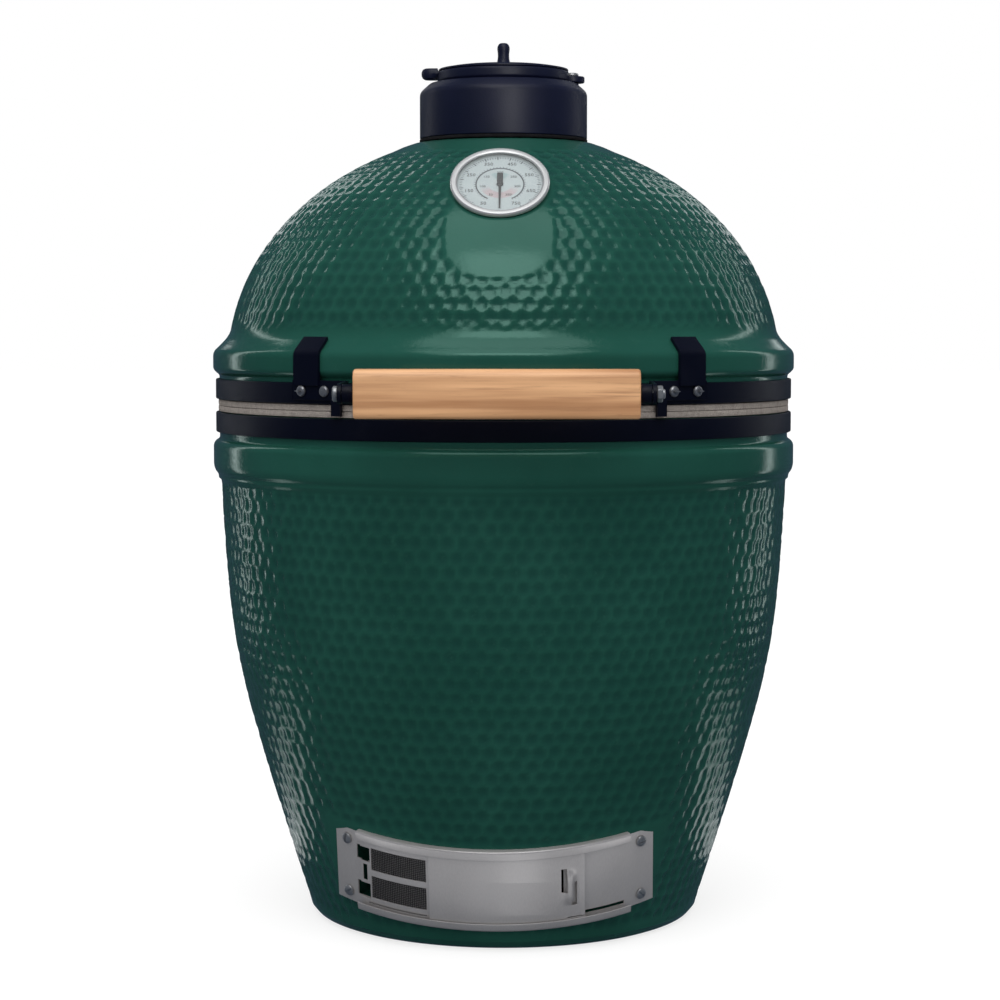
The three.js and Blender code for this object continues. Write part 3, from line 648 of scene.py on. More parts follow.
def powder_coat(start):
    pebbles = start.noise(1300.0, 2.0)
    wear = start.noise(24.0, 5.0, rough=0.65)
    colour = wear.step(0.5, 0.8).mix((0.0003, 0.001, 0.0085), (0.0018, 0.0027, 0.011))
    return {"Base Color": colour, "Roughness": 0.36 + 0.16 * wear, "Specular IOR Level": 0.25,
            "Normal": start.bump(pebbles, 0.35, 0.0003)}


def zinc_plate(start, scale=140.0, pale=(0.5, 0.5, 0.5), dull=(0.36, 0.36, 0.37), spread=0.2):
    """Plated steel with dull clouds."""
    cloud = start.noise(scale, 3.0)
    colour = cloud.step(0.35, 0.7).mix(pale, dull)
    return {"Base Color": colour, "Roughness": 0.3 + spread * cloud, "Metallic": 0.85,
            "Normal": start.bump(start.noise(1500.0), 0.12, 0.0001)}


black_steel = material("black_steel", powder_coat)
zinc = material("zinc", zinc_plate)

band_inner = 267.4
band_outer = 270.4
band_tall = 18.5
clamp_turn = 150


def band_shapes(low):
    """A hoop with a gap at the clamp and a lug on either side of it."""
    high = low + band_tall
    section = rounded(oblong(band_inner, band_outer, low, high), [0.8, 1.3, 1.3, 0.8], 3)
    hoop = turned(section, 300, clamp_turn - 359.3, clamp_turn - 0.7)
    lug = rounded(oblong(band_outer - 1, band_outer + 17, low + 1, high - 1), [0.5, 4, 4, 0.5], 4)
    lugs = [turned(lug, 3, clamp_turn + start, clamp_turn + start + 0.8) for start in (-1.5, 0.7)]
    return [hoop, *lugs]


def hexagon(corner, low, high, place):
    """A hexagonal nut with its corners taken off at both ends."""
    angle = np.radians(np.arange(0, 360, 60))
    rings = [(0, low), (corner * 0.9, low), (corner, low + 0.7), (corner, high - 0.7),
             (corner * 0.9, high), (0, high)]
    r, z = np.array(rings, float).T[:, :, None]
    grid = np.stack([r * np.cos(angle), r * np.sin(angle), z + 0 * angle], axis=-1)
    return carried(moved(grid, place))


def screw_threads(radius, low, high, place):
    """A bolt's shaft with the thread's ridges as rings: a cosine of the way along it."""
    pitch = 1.4
    z = np.arange(low, high, pitch / 4)
    r = radius + 0.25 * np.cos(2 * np.pi * (z - low) / pitch)
    profile = np.concatenate([[[0, low]], np.stack([r, z], axis=-1), [[0, z[-1]]]])
    return turned(profile, 16, matrix=place)


for band_name, band_low, band_body in (("lower", 455.2, "base"), ("upper", 486, "lid")):
    piece(f"{band_name}_hoop", band_shapes(band_low), black_steel, band_body,
          [f"{band_name}_band"], bevel=0.3)
    line = matrix(clamp_turn, (0, -(band_inner + 12), band_low + band_tall / 2)) @ matrix(turn_y=90)
    head = turned([[0, 8], [5.5, 8], [5.5, 10.4], [4.4, 11.8], [0, 12]], 24, matrix=line)
    piece(f"{band_name}_clamp_bolt", [screw_threads(2.7, -16, 8, line), head], zinc, band_body,
          [f"{band_name}_band_bolt"], bevel=0.2)
    piece(f"{band_name}_clamp_nut", [hexagon(5.8, -12.5, -8.2, line)], zinc, band_body,
          [f"{band_name}_band_nut"], bevel=0.2)

# ---------------------------------------------------------------- hinge
# A steel strap with two cheeks on each band, turning on one long pin behind the grill. The
# upper cheeks reach back as levers, and two coil springs pull them down to carry the lid.

repaint(black_steel, "hinge_lower_bracket", "hinge_upper_bracket")
pin_y, pin_z = 305.0, 478.0
lever, lever_rise, spring_length = 60.0, np.radians(35), 190
hook_y = pin_y + lever * np.cos(lever_rise)
hook_z = pin_z + lever * np.sin(lever_rise)
foot_z = hook_z - spring_length

pin_line = matrix(place=(0, pin_y, pin_z)) @ matrix(turn_y=90)
pin_profile = [[0, -57.4], [5.6, -57.4], [7, -56.2], [7, -53.9], [3.9, -53.9], [3.9, 61], [3.2, 61.9],
               [0, 61.9]]
piece("long_hinge_pin", [turned(pin_profile, 28, matrix=pin_line)], zinc, "base", ["hinge_pin"],
      bevel=0.2)
piece("pin_nut", [hexagon(7.5, 53.9, 59.4, pin_line)], zinc, "base", ["hinge_pin_nut"], bevel=0.3)
for level, half, z, spring_body in (("lower", 58, foot_z, "base"), ("upper", 49.5, hook_z, "lid")):
    piece(f"{level}_spring_bar", [bar((-half, hook_y, z), (half, hook_y, z), 2.9, 20)], zinc, spring_body,
          [f"spring_rod_{level}"])


def spring_wire(start):
    return zinc_plate(start, 90.0, (0.4, 0.4, 0.41), (0.24, 0.24, 0.26), 0.15)


spring_steel = material("spring_steel", spring_wire)


def coil_spring(x):
    """A close coil whose wire leaves it at both ends and loops over the spring bars.

    Going up, the wire's angle grows evenly and its radius is that of the coil. At an end the
    wire comes straight out of the coil's side and bends round the bar in half an oval.
    """
    turns, wire, coil = 42, 1.35, 8.4
    loop, tall, reach = 4.7, 6.6, 13.0
    angle = np.linspace(0, 2 * np.pi * turns, turns * 18 + 1)
    rise = np.linspace(foot_z + reach, hook_z - reach, len(angle))
    body = np.stack([coil * np.sin(angle), -coil * np.cos(angle), rise], axis=-1)
    bend = np.linspace(0, np.pi * 1.25, 16)
    over = np.stack([0 * bend, -loop * np.cos(bend), hook_z + tall * np.sin(bend)], axis=-1)
    under = np.stack([0 * bend, -loop * np.cos(bend), foot_z - tall * np.sin(bend)], axis=-1)
    path = np.concatenate([under[::-1], body, over])
    soft = np.ones(5) / 5
    smooth = np.stack([np.convolve(path[:, k], soft, "same") for k in range(3)], axis=-1)
    ends = np.minimum(np.arange(len(path)), np.arange(len(path))[::-1])[:, None]
    path = np.where(ends < 3, path, smooth)
    out = path * (1, 1, 0) + (1e-3, 0, 1e-6)
    return tube(path + (x, hook_y, 0), wire, 6, out)


for spring_name, spring_x in (("left", -24.0), ("right", 24.0)):
    spring = piece(f"{spring_name}_coil_spring", [coil_spring(spring_x)], spring_steel, "base",
                   [f"lid_spring_{spring_name}"])
    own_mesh(spring)

# ---------------------------------------------------------------- dome
# The upper half of the egg, of the same dimpled ceramic, with a smooth lip below and a short
# neck above. A plain oval under the thermometer is left without dimples.

dome_centre, dome_wide, dome_high, dome_wall = 517.0, 259.2, 216.5, 22.5


def dome_curve(turn_from, turn_to, count, wall):
    """An ellipse, from one angle above the horizontal to another."""
    turn = np.radians(np.linspace(turn_from, turn_to, count))
    wide, high = dome_wide - wall, dome_high - wall
    return np.stack([wide * np.cos(turn), dome_centre + high * np.sin(turn)], axis=-1)


shoulder_z, crown_z = 549, 714.5
shoulder_turn, crown_turn = np.degrees(np.arcsin((np.array([shoulder_z, crown_z]) - dome_centre) / dome_high))
dome_outside = even_steps(dome_curve(shoulder_turn, crown_turn, 400, 0), 2.35)
dome_lip = rounded([[244, 485.7], [267, 485.7], [267, 508], [270, 510.3], [272.8, 513.5], [272.8, 527],
                    [271.4, 530.6], [266, 535.7], [260.4, 541.6], [257.6, 546]], 2.2, 4, closed=False)
dome_neck = rounded([[95, 719.5], [84, 723.3], [72, 724.2], [72, 761], [55, 761], [55, 706], [70, 703]],
                    1.5, 3, closed=False)
dome_inside = dome_curve(68, 3, 22, dome_wall)
dome_profile = np.concatenate([dome_lip, dome_outside, dome_neck, dome_inside])
dome_dimpled = slice(len(dome_lip), len(dome_lip) + len(dome_outside))

gauge_centre = np.array([0, -180, 678.9])
in_gauge = matrix(place=gauge_centre, turn_x=45)
oval_z, oval_wide, oval_tall, oval_power = 631, 47.0, 37.0, 2.6


def dome_dimples_fade(r, z, angle):
    """Full depth, but smooth at the shoulder, the neck, the thermometer and the plain oval."""
    x, y = r * np.sin(angle), -r * np.cos(angle)
    off = np.stack(np.broadcast_arrays(x, y, z), axis=-1) - gauge_centre
    flat = off @ in_gauge[:3, :3]
    fade = smooth_step(z, 549.5, 555) * smooth_step(-z, -714, -708)
    fade = fade * smooth_step(np.hypot(flat[..., 0], flat[..., 1]), 45, 50)
    across, up = np.abs(x / oval_wide), np.abs((z - oval_z) / oval_tall)
    oval = (across ** oval_power + up ** oval_power) ** (1 / oval_power)
    return fade * np.where(y < 0, smooth_step(oval, 1.0, 1.07), 1)


def press_gauge_seat(grid):
    """The thermometer's seat: what stands above a shallow dish round its axis is pressed down."""
    local = (grid - gauge_centre) @ in_gauge[:3, :3]
    away = np.hypot(local[..., 0], local[..., 1])
    dish = np.interp(away, [0, 27, 31, 44.1, 46], [-15, -15, -8.4, -3.8, 60])
    outer = local[..., 2] > -21
    local[..., 2] = np.where(outer, np.minimum(local[..., 2], dish), local[..., 2])
    return local @ in_gauge[:3, :3].T + gauge_centre


dome_bare = slice(-len(dome_inside), None)
glazed_dome = shell(dome_profile, 620, dome_dimpled, dome_bare, 13.4, dimple_depth, dome_dimples_fade,
                    press_gauge_seat)
piece("glazed_dome", [glazed_dome], green_glaze, "lid", ["dome_shell"], sharp=50)

# ---------------------------------------------------------------- thermometer
# A steel case with a pale printed dial, a thin black pointer and a glass, set in the dome at
# a slant. Its long stem passes through the ceramic and a nut holds it inside.


def spun_steel(start):
    lines = start.noise(900.0, 2.0)
    return {"Base Color": lines.mix((0.66, 0.66, 0.65), (0.8, 0.8, 0.79)), "Roughness": 0.2 + 0.08 * lines,
            "Metallic": 0.7, "Normal": start.bump(lines, 0.08, 0.0001)}


def dial_print(start):
    """Pale enamel with a ring of tick marks, an inner arc open at the bottom, and warm zones."""
    place = start.node("TexCoord", output=3)
    place = start.node("VectorMath", {"operation": "SUBTRACT"}, {0: place, 1: tuple(gauge_centre * MM)})
    place = start.node("Mapping", inputs={"Vector": place, "Rotation": (np.radians(-45), 0, 0)})
    x, y = (start.node("SeparateXYZ", inputs={0: place}, output=k) * 1000 for k in (0, 1))
    squared = x * x + y * y
    away = start.math("SQRT", squared)
    turn = start.math("ARCTAN2", x, y) * (180 / np.pi)
    swept = start.math("ABSOLUTE", turn)

    def ring(radius, half):
        gap = start.math("ABSOLUTE", away - radius)
        return 1 - gap.step(half - 0.12, half + 0.12)

    def ticks(pitch, inner, outer, half):
        """Marks at every pitch degrees, drawn between two radii."""
        off = start.math("PINGPONG", turn + 360, pitch / 2) * (np.pi / 180) * away
        between = away.step(inner - 0.1, inner + 0.1) * (1 - away.step(outer - 0.1, outer + 0.1))
        return (1 - off.step(half, half + 0.15)) * between

    shown = 1 - swept.step(149.5, 150.5)
    marks = ticks(3.75, 33.2, 35.4, 0.2) + ticks(18.75, 32.2, 35.8, 0.42)
    marks = marks + ring(20.8, 0.65) + ticks(7.5, 20.8, 22.8, 0.25)
    marks = start.math("MINIMUM", marks * shown, 1.0)
    enamel = start.noise(30.0, 2.0).mix((0.36, 0.42, 0.43), (0.41, 0.465, 0.475))
    warm = away.step(9, 11) * (1 - away.step(17, 18)) * swept.step(95, 140)
    colour = (warm * 0.4).mix(enamel, (0.45, 0.2, 0.21))
    cool = away.step(7, 8) * (1 - away.step(15, 16)) * (1 - swept.step(20, 40)) * y.step(6, 8)
    colour = (cool * 0.35).mix(colour, (0.08, 0.25, 0.24))
    colour = (marks * 0.9).mix(colour, (0.03, 0.035, 0.045))
    return {"Base Color": colour, "Roughness": 0.5}


def clear_glass(start):
    smear = start.noise(40.0, 3.0)
    colour = smear.mix((0.6, 0.64, 0.64), (0.7, 0.72, 0.72))
    return {"Base Color": colour, "Roughness": 0.05 + 0.05 * smear, "Alpha": 0.05 + 0.03 * smear}


def needle_paint(start):
    speck = start.noise(400.0)
    colour = speck.mix((0.006, 0.006, 0.007), (0.014, 0.014, 0.015))
    return {"Base Color": colour, "Roughness": 0.4 + 0.1 * speck}


gauge_steel = material("gauge_steel", spun_steel)
dial_enamel = material("dial_enamel", dial_print)
gauge_glass = material("gauge_glass", clear_glass)
needle_black = material("needle_black", needle_paint)

case_profile = rounded([[4.4, -5], [39.2, -5], [39.2, -0.6], [37.2, -0.6], [37.2, 0.1], [38.5, 0.8],
                        [42.3, 0.8], [43.5, -0.6], [43.5, -3], [30, -7.8], [26, -14], [4.4, -14]], 0.5, 3)
piece("gauge_case", [turned(case_profile, 120, matrix=in_gauge)], gauge_steel, "lid",
      ["gauge_housing"])
piece("printed_dial", [turned(oblong(0, 38.8, -4.7, -4), 96, matrix=in_gauge)], dial_enamel, "lid",
      ["gauge_dial"])
lens_profile = [[0, -2], [38.8, -2], [38.8, -1.2], [38.4, -1], [0, -1]]
piece("glass_lens", [turned(lens_profile, 96, matrix=in_gauge)], gauge_glass, "lid",
      ["gauge_lens"])


pointer = strip([[-0.7, -31], [-1.0, -12], [-1.4, 0], [-2.6, 3], [-2.6, 14], [2.6, 14], [2.6, 3], [1.4, 0],
                 [1.0, -12], [0.7, -31]], -3.5, -2.8, in_gauge)
hub = turned([[0, -3.6], [3, -3.6], [3, -2.9], [2.4, -2.6], [0, -2.5]], 32, matrix=in_gauge)
piece("pointer", [pointer, hub], needle_black, "needle", ["gauge_needle"])
stem_profile = [[0, -82], [1.4, -81.6], [2.5, -80], [4, -74], [4, -6], [0, -6]]
piece("long_stem", [turned(stem_profile, 24, matrix=in_gauge)], zinc, "lid", ["gauge_stem"])
piece("stem_nut", [hexagon(11, -36, -30.5, in_gauge)], zinc, "lid", ["gauge_nut"], bevel=0.4)


def numerals(values, radius, size):
    """Plain numbers round the dial, upright, clockwise from the lower left to the lower right."""
    shapes = []
    for value, turn in zip(values, np.linspace(-150, 150, len(values))):
        text = bpy.data.curves.new("number", "FONT")
        text.body = str(value)
        text.size = size
        text.align_x = "CENTER"
        text.align_y = "CENTER"
        text.extrude = 0.06
        text.resolution_u = 2
        holder = bpy.data.objects.new("number", text)
        scene.collection.objects.link(holder)
        ready = holder.evaluated_get(bpy.context.evaluated_depsgraph_get())
        flat = bpy.data.meshes.new_from_object(ready)
        points = np.empty(len(flat.vertices) * 3)
        flat.vertices.foreach_get("co", points)
        angle = np.radians(turn)
        points = points.reshape(-1, 3) + (radius * np.sin(angle), radius * np.cos(angle), -3.93)
        flat.calc_loop_triangles()
        corners = np.empty(len(flat.loop_triangles) * 3, dtype=np.int32)
        flat.loop_triangles.foreach_get("vertices", corners)
        corners = corners.reshape(-1, 3)
        shapes.append((moved(points, in_gauge), corners[:, [0, 1, 2, 2]]))
        bpy.data.objects.remove(holder)
        bpy.data.meshes.remove(flat)
    return shapes


dial_numbers = numerals(range(50, 800, 100), 28.2, 5.4) + numerals(range(50, 400, 50), 15.4, 3.8)
piece("dial_numbers", dial_numbers, needle_black, "lid", sharp=20)

# ---------------------------------------------------------------- handle
# A turned-edge hardwood bar on a steel rod, held away from the upper band by two black steel
# brackets. Each bracket is bolted through the band and hooks over the dome's lip.


def wood_grain(start):
    """Long pale grain along X, with darker growth lines, small pores and a satin oil finish."""
    fibres = start.noise(260.0, 4.0, (0.035, 1, 1), 0.6)
    growth = start.noise(46.0, 3.0, (0.06, 1, 1.4), 0.55)
    blotch = start.noise(11.0, 3.0, (0.6, 1, 1))
    pores = start.noise(1500.0, 2.0, (0.05, 1, 1))
    colour = growth.step(0.34, 0.66).mix((0.8, 0.45, 0.225), (0.45, 0.21, 0.088))
    colour = (fibres.step(0.48, 0.72) * 0.55).mix(colour, (0.32, 0.14, 0.058))
    colour = (blotch.step(0.45, 0.75) * 0.3).mix(colour, (0.72, 0.43, 0.22))
    colour = (pores.step(0.63, 0.8) * 0.4).mix(colour, (0.25, 0.11, 0.05))
    return {"Base Color": colour, "Roughness": 0.42 + 0.12 * fibres, "Coat Weight": 0.12,
            "Coat Roughness": 0.25, "Normal": start.bump(fibres + 0.4 * pores, 0.25, 0.0004)}


oiled_wood = material("oiled_wood", wood_grain)
bar_half, bar_y, bar_z, bar_tall, bar_deep = 117.9, -312.0, 497.3, 41.0, 24.0


def wooden_bar():
    """A rounded section carried along X. At both ends it draws in along a quarter circle."""
    edge = 2.2
    front, back = bar_y - bar_deep / 2, bar_y + bar_deep / 2
    low, high = bar_z - bar_tall / 2, bar_z + bar_tall / 2
    section = rounded([[front, low], [front, high], [back, high], [back, low]], [6, 9, 6, 6], 8)
    middle = np.array([bar_y, bar_z])
    turn = np.linspace(0, np.pi / 2, 6)
    x = np.concatenate([-bar_half + edge * (1 - np.cos(turn)), np.linspace(-80, 80, 5),
                        bar_half - edge * (1 - np.cos(turn[::-1]))])
    draw_in = np.concatenate([edge * (1 - np.sin(turn)), np.zeros(5), edge * (1 - np.sin(turn[::-1]))])
    reach = np.linalg.norm(section - middle, axis=1)
    scale = 1 - draw_in[:, None] / reach[None, :]
    flat = middle + (section - middle)[None] * scale[..., None]
    grid = np.concatenate([np.broadcast_to(x[:, None, None], (*scale.shape, 1)), flat], axis=2)
    centre = np.array([[[-bar_half, bar_y, bar_z]], [[bar_half, bar_y, bar_z]]])
    centre = np.broadcast_to(centre, (2, len(section), 3))
    return carried(np.concatenate([centre[:1], grid, centre[1:]]))


piece("wooden_grip", [wooden_bar()], oiled_wood, "lid", ["handle_bar"], sharp=40)

arm_x = 129.5
rod_line = matrix(place=(0, bar_y, bar_z)) @ matrix(turn_y=90)
rod_profile = [[0, -135.4], [5.3, -135.4], [6.5, -134.2], [6.5, -131.4], [4, -131.4], [4, 137.6],
               [3.3, 138.4], [0, 138.4]]
piece("through_rod", [turned(rod_profile, 28, matrix=rod_line)], zinc, "lid", ["handle_rod"],
      bevel=0.2)
piece("rod_nut", [hexagon(7, 131.4, 136.4, rod_line)], zinc, "lid", ["handle_nut"], bevel=0.3)


def bracket(side):
    """A plate on the band, a lug below it, a hook over the dome's lip and an arm to the rod."""
    def span(near, far):
        return (near, far) if side > 0 else (-far, -near)

    inner, outer = 270.8, 273.8
    plate = rounded(oblong(inner, outer, 489.5, 506.5), 0.5, 2)
    lug = oblong(inner, outer, 476, 491)
    bend = [0, 3, 3, 0]
    hook_outside = rounded([[276, 502], [276, 529.5], [273.6, 533.2], [262.6, 544]], bend, 4, closed=False)
    hook_inside = rounded([[261.4, 541.6], [269.4, 534], [273, 530], [273, 502]], bend, 4, closed=False)
    turn = np.linspace(-np.pi / 2, np.pi / 2, 13)
    nose = np.stack([bar_y - 0.5 - 8.5 * np.cos(turn), bar_z + 8.5 * np.sin(turn)], axis=-1)
    arm = np.concatenate([[[-239.6, 489.5]], nose, [[-239.6, 506.5]]])
    along_x = np.array([[0, 0, 1, side * arm_x], [1, 0, 0, 0], [0, 1, 0, 0], [0, 0, 0, 1]], float)
    return [turned(plate, 24, *span(28.2, 40.8)), turned(lug, 6, *span(29.6, 31.6)),
            turned(np.concatenate([hook_outside, hook_inside]), 14, *span(34.2, 40.1)),
            strip(arm, -1.5, 1.5, along_x)]


for side_name, side in (("left", -1), ("right", 1)):
    bush = oblong(4.4, 8, side * 118.3, side * 127.6)
    piece(f"{side_name}_bush", [turned(rounded(bush, 0.6, 2), 32, matrix=rod_line)], black_steel, "lid",
          [f"handle_bush_{side_name}"])
    piece(f"{side_name}_bracket", bracket(side), black_steel, "lid",
          [f"handle_bracket_{side_name}"], bevel=0.35)


def outward(angle, radius, z, base=None):
    """Stands an upright piece on a wall, facing out, at an angle, radius and height."""
    place = matrix(angle, (0, -radius, z), 90)
    return place if base is None else base @ place


bolt_head = rounded([[0, 0], [4.8, 0], [4.7, 1.4], [3.4, 2.9], [0, 3.4]], [0, 0.2, 0.6, 1.2, 0], 4,
                    closed=False)
for i, bolt_angle in enumerate((-33, -38.4, 33, 38.4)):
    place = outward(bolt_angle, 274.2, 497.3)
    socket = [strip(oblong(-wide, wide, -tall, tall), 2.6, 6, place)
              for wide, tall in ((2.6, 0.45), (0.45, 2.6))]
    piece(f"bracket_bolt_head_{i + 1}", [turned(bolt_head, 32, matrix=place)], spring_steel, "lid",
          [f"bracket_bolt_{i + 1}"], socket)

# ---------------------------------------------------------------- cap
# A cast iron collar clamped on the dome's neck over a felt seal. A thick pierced plate swings
# aside on a pin, and a thinner wheel on the plate, turned by its knob, covers the holes.


def enamelled_iron(start):
    grain = start.noise(650.0, 3.0, rough=0.6)
    cloud = start.noise(17.0, 3.0)
    colour = cloud.step(0.35, 0.75).mix((0.002, 0.0036, 0.018), (0.0045, 0.006, 0.024))
    return {"Base Color": colour, "Roughness": 0.36 + 0.14 * grain, "Specular IOR Level": 0.4,
            "Normal": start.bump(grain, 0.3, 0.0004)}


# Felt painted nearly black: painted shade that stands for the shadow under the cap's collar.
def sooty_fibres(start):
    return felt_fibres(start, (0.004, 0.004, 0.006), (0.02, 0.019, 0.02))


black_iron = material("black_iron", enamelled_iron)
shade_dark_felt = material("shade_dark_felt", sooty_fibres)
seal = rounded(oblong(72.9, 78.8, 724.6, 727.7), 0.8, 3)
# The seal's near-black felt is painted shade under the collar.
piece("neck_felt", [turned(seal, 160)], shade_dark_felt, "lid", ["cap_seal"], sharp=60)

collar = rounded([[73.6, 728], [78.5, 728], [78.5, 771], [68.4, 780], [48, 780], [48, 776], [73.6, 768]],
                 [0.6, 1.2, 3.5, 2.5, 1.5, 1, 1], 4)
pivot = matrix(place=(64.5, 0, 0))
boss = rounded(oblong(0, 6, 768, 780), [0, 0.5, 0.5, 0], 2, closed=False)
collar_shapes = [turned(collar, 160), turned(boss, 32, matrix=pivot)]
cap_pieces.objects.link(piece("iron_collar", collar_shapes, black_iron, "lid", ["cap_collar"],
                              bevel=0.2))
pin_head = rounded([[0, 772], [2.8, 772], [2.8, 787.2], [6, 787.2], [5.6, 789.4], [3.5, 789.9], [0, 790]],
                   [0, 0.3, 0.1, 0.4, 0.8, 0.5, 0], 3, closed=False)
cap_pieces.objects.link(piece("swing_pin", [turned(pin_head, 32, matrix=pivot)], zinc, "lid",
                              ["cap_pivot_pin"]))


def vent_cutters(low, high, turn):
    """Six round holes on a circle round the axis, and one on the axis for the knob's shaft."""
    holes = [turned(oblong(0, 10, low, high), 40, matrix=matrix(angle + turn, (0, -38, 0)))
             for angle in range(0, 360, 60)]
    return [*holes, turned(oblong(0, 3.4, low, high), 24)]


disc = rounded([[0, 780.4], [59.8, 780.4], [61.8, 782.4], [61.8, 789.5], [60.3, 791], [0, 791]],
               [0, 0.6, 1, 1, 1, 0], 3, closed=False)
ear = rounded(oblong(0, 11.5, 780.4, 786.4), [0, 1.4, 1.4, 0], 4, closed=False)
grip_end = np.radians(np.linspace(90, 270, 13))


def grip_layer(inset, z):
    """The outline of the grip's tongue at one height: straight sides and a round end."""
    half = 9 - inset
    x = np.concatenate([[-54], -68 + half * np.cos(grip_end), [-54]])
    y = np.concatenate([[half], half * np.sin(grip_end), [-half]])
    return np.stack([x, y, z + 0 * x], axis=-1)


grip_layers = ((3.2, 783.6), (1.2, 784.8), (0.2, 787), (0, 789), (0.2, 791), (1.2, 793), (3.2, 794))
grip = np.stack([grip_layer(inset, z) for inset, z in grip_layers])
plate_shapes = [turned(disc, 160), turned(ear, 48, matrix=pivot), carried(grip)]
plate_cuts = [*vent_cutters(770, 800, 0), turned(oblong(0, 7, 786.5, 800), 32, matrix=pivot),
              turned(oblong(0, 61.9, 791.05, 800), 160)]
cap_pieces.objects.link(piece("swing_plate", plate_shapes, black_iron, "cap_plate",
                              ["cap_swing_plate"], plate_cuts, bevel=0.4))

wheel = rounded([[0, 791.4], [60.8, 791.4], [60.8, 793], [48, 795.4], [14, 797.6], [0, 797.6]],
                [0, 0.5, 1.0, 6, 4, 0], 4, closed=False)
cap_pieces.objects.link(piece("vent_disc", [turned(wheel, 160)], black_iron, "vent",
                              ["vent_wheel"], vent_cutters(785, 805, 30), bevel=0.5))
knob = rounded([[0, 783], [3, 783], [3, 797.9], [8.6, 798], [6.4, 799], [5.5, 802.5], [5.2, 807],
                [5.8, 811.5], [5.8, 814.4], [3.8, 817.6], [0, 817.8]],
               [0, 0, 0, 0.3, 1, 1.6, 2, 1.6, 1.4, 1.6, 0], 4, closed=False)
cap_pieces.objects.link(piece("vent_peg", [turned(knob, 40)], black_iron, "vent", ["vent_knob"]))

# ---------------------------------------------------------------- draft door
# A bent steel frame is screwed over the opening at the foot. In its two rolled tracks run a
# screen with two woven windows and, in front of it, a plain sliding sheet with a finger pull.


def brushed_steel(start):
    lines = start.noise(1100.0, 3.0, (1, 1, 0.03), 0.6)
    cloud = start.noise(16.0, 2.0, (1, 1, 0.25))
    colour = lines.mix((0.4, 0.385, 0.385), (0.54, 0.52, 0.515))
    colour = (cloud.step(0.35, 0.7) * 0.35).mix(colour, (0.62, 0.6, 0.595))
    return {"Base Color": colour, "Roughness": 0.3 + 0.14 * lines, "Metallic": 0.6,
            "Normal": start.bump(lines, 0.12, 0.0002)}


def dark_weave(start):
    colour = start.noise(900.0, 2.0).mix((0.02, 0.019, 0.02), (0.05, 0.047, 0.048))
    return {"Base Color": colour, "Roughness": 0.5, "Metallic": 0.3}


door_steel = material("door_steel", brushed_steel)
dark_wire = material("dark_wire", dark_weave)


def bent_sheet(turns, heights, inner, outer, holes=(), lift=None):
    """A sheet bent round the door's axis, with rectangular holes.

    Every cell of the grid of angles and heights that lies in no hole is solid: it has a face
    outside and one inside, and a wall wherever its neighbour is open. lift moves both
    faces outwards by a function of angle and height.
    """
    turns = np.unique(np.round(np.concatenate([turns, *[[h[0], h[1]] for h in holes]]), 3))
    heights = np.unique(np.round(np.concatenate([heights, *[[h[2], h[3]] for h in holes]]), 3))
    middle_turn = ((turns[1:] + turns[:-1]) / 2)[None, :]
    middle_height = ((heights[1:] + heights[:-1]) / 2)[:, None]
    solid = np.ones((len(heights) - 1, len(turns) - 1), bool)
    for left, right, low, high in holes:
        beside = (middle_turn < left) | (middle_turn > right)
        solid &= beside | (middle_height < low) | (middle_height > high)
    angle, z = np.radians(turns)[None, :], heights[:, None]
    push = lift(turns[None, :], z) if lift else 0 * angle + 0 * z
    rings = [np.stack(np.broadcast_arrays(r * np.sin(angle), -r * np.cos(angle), z), axis=-1)
             for r in (outer + push, inner + push)]
    points = moved(np.concatenate([ring.reshape(-1, 3) for ring in rings]), in_door)
    wide = len(turns)
    back = wide * len(heights)
    padded = np.pad(solid, 1)
    faces = []
    i, j = np.nonzero(solid)
    corner = i * wide + j
    front = np.stack([corner, corner + 1, corner + wide + 1, corner + wide], axis=-1)
    faces += [front, front[:, ::-1] + back]
    rows, columns = solid.shape
    sides = ((0, 1, 1, wide + 1), (0, -1, wide, 0), (1, 0, wide, wide + 1), (-1, 0, 1, 0))
    for step_i, step_j, a, b in sides:
        beyond = padded[1 + step_i:1 + step_i + rows, 1 + step_j:1 + step_j + columns]
        i, j = np.nonzero(solid & ~beyond)
        first, second = i * wide + j + a, i * wide + j + b
        wall = np.stack([first, second, second + back, first + back], axis=-1)
        faces.append(wall if step_i else wall[:, [0, 3, 2, 1]])
    return weld(points, np.concatenate(faces))


frame_in, frame_out = 214.6, 216


def door_track(up):
    """A rolled channel: plate, web and lip in one folded strip, carried round the door's axis."""
    lip = 221.4 if up > 0 else 222.0
    outside = [[frame_in, 35.5], [frame_in, 39.7], [221.2, 39.7], [lip, 31.7]]
    within = [[lip - 1.2, 31.7], [220, 38.5], [frame_out, 38.5], [frame_out, 35.5]]
    section = rounded(outside + within, [0.1, 0.5, 2.4, 0.4, 0.4, 1.4, 0.5, 0.1], 4)
    return turned(section * (1, up), 80, -33.5, 33.5, in_door)


foot_slit = (-31, -15.5, -31.6, -30.2)
frame_holes = [(-13, 17, -23, 23), (-34.4, -30.4, 10, 24), (-34.4, -30.4, -27, -12), (-33.2, -31.2, -12, 10),
               foot_slit, (17.4, 32.5, -31.7, -28.2)]
frame_plate = bent_sheet(np.arange(-41, 41.1, 1.0), np.array([-36.5, 36.5]), frame_in, frame_out, frame_holes)
door_pieces.objects.link(piece("door_frame", [frame_plate, door_track(1), door_track(-1)], door_steel, "base",
                               ["draft_frame"], bevel=0.25))


def pull_lift(turn, z):
    """The finger pull: a rib raised between the two slits, and a slight set at the free edge."""
    rib = np.exp(-((turn - 18.2) / 1.15) ** 2 - (z / 15.0) ** 6)
    return 4.2 * rib + 0.9 * smooth_step(turn, 20.6, 21.8)


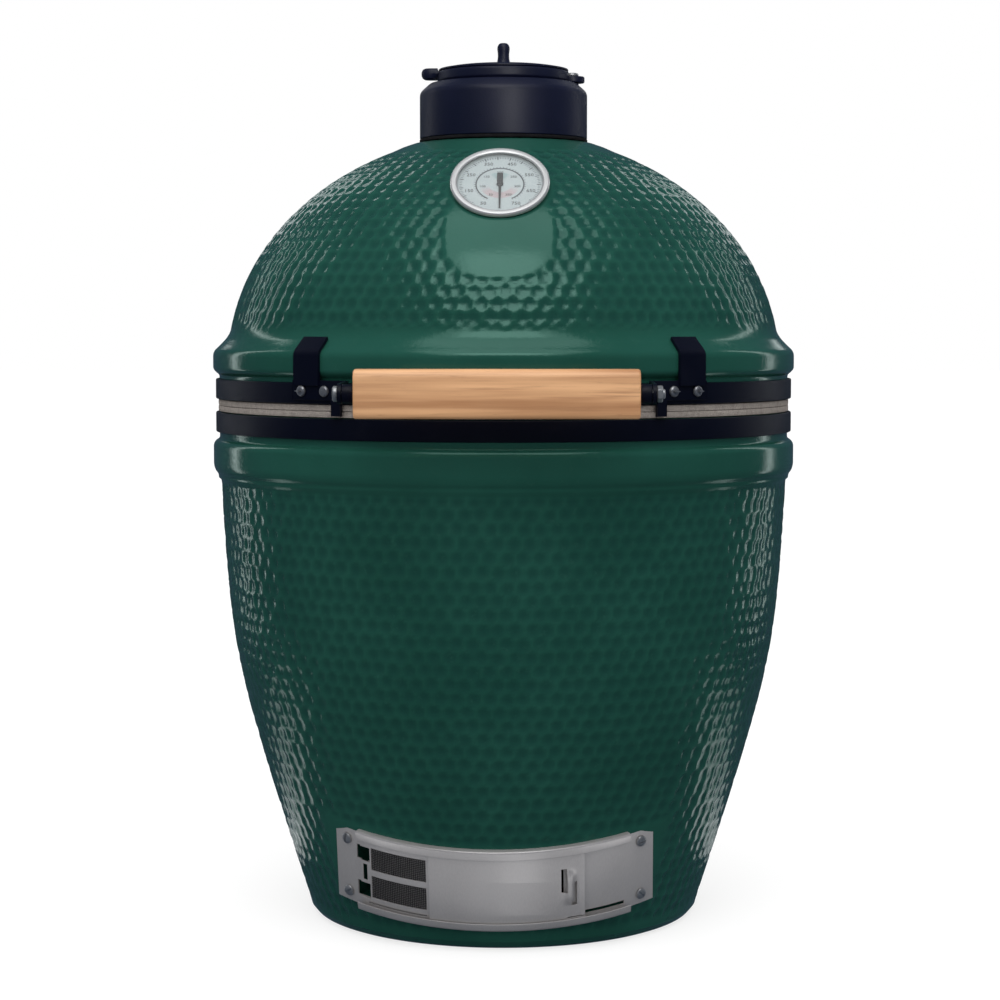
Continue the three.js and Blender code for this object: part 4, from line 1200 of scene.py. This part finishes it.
slide_turns = np.concatenate([np.arange(-14.7, 16, 1.0), np.arange(16, 21.8, 0.25), [21.8]])
slide_heights = np.concatenate([[-36.2, 36.2], np.arange(-20, 20.1, 2)])
slide_holes = [(16.2, 17.5, -5, 18), (18.6, 19.9, -19, 5), (17.6, 21.8, -31.5, -30.3)]
plain_slide = bent_sheet(slide_turns, slide_heights, 218.5, 219.6, slide_holes, pull_lift)
door_pieces.objects.link(piece("plain_slide", [plain_slide], door_steel, "solid_door",
                               ["draft_slide"], bevel=0.2))

screen_holes = [(-30, -15.5, 3, 25), (-30, -15.5, -25, -3), (-33.1, -30.4, 10, 24), (-33.1, -30.4, -27, -12),
                (-32.4, -31.2, -9, 7), foot_slit]
screen_plate = bent_sheet(np.arange(-33, -11.9, 1.0), np.array([-36.2, 36.2]), 216.4, 217.4, screen_holes)
door_pieces.objects.link(piece("screen_slide_sheet", [screen_plate], door_steel, "screen_door",
                               ["screen_slide"], bevel=0.15))


def woven_window(low, high):
    """Upright and level wires that pass over and under each other as a cosine of their place."""
    left, right, pitch, wire = -29.9, -15.6, 1.8, 0.34
    middle, wave = 216.9, 0.2
    degree = 180 / np.pi / middle
    uprights = np.arange(left + 0.3, right, pitch * degree)
    levels = np.arange(low + 0.7, high, pitch)
    shapes = []
    z = np.arange(low, high + 0.01, pitch / 2)
    for k, turn in enumerate(np.radians(uprights)):
        r = middle + wave * np.cos(np.pi * (z - levels[0]) / pitch + np.pi * k)
        upright = np.stack([r * np.sin(turn), -r * np.cos(turn), z], axis=-1)
        shapes.append((upright, (1, 0, 0)))
    turn = np.radians(np.arange(left, right + 0.01, pitch * degree / 2))
    for k, height in enumerate(levels):
        r = middle - wave * np.cos(np.pi * (np.degrees(turn) - uprights[0]) / (pitch * degree) + np.pi * k)
        level = np.stack([r * np.sin(turn), -r * np.cos(turn), height + 0 * turn], axis=-1)
        shapes.append((level, (0, 0, 1)))
    return [tube(moved(path, in_door), wire, 5, in_door[:3, :3] @ np.array(across, float))
            for path, across in shapes]


for level, low in (("upper", 3.4), ("lower", -24.6)):
    piece(f"{level}_weave", woven_window(low, low + 21.2), dark_wire, "screen_door",
          [f"screen_mesh_{level}"])

screw_head = rounded([[0, 0.4], [5.2, 0.4], [5.1, 1.8], [3.6, 3.2], [0, 3.7]], [0, 0.2, 0.7, 1.3, 0], 4,
                     closed=False)
for i, (turn, z) in enumerate(((-37.2, -26.5), (-37.2, 26.5), (37.2, -26.5), (37.2, 26.5))):
    place = outward(turn, door_radius, z, in_door)
    slot_cut = strip(oblong(-6, 6, -0.6, 0.6), 2.3, 7, place @ matrix(turn_z=35 + 50 * i))
    piece(f"door_screw_{i + 1}", [turned(screw_head, 32, matrix=place)], zinc, "base",
          [f"draft_screw_{i + 1}"], [slot_cut])
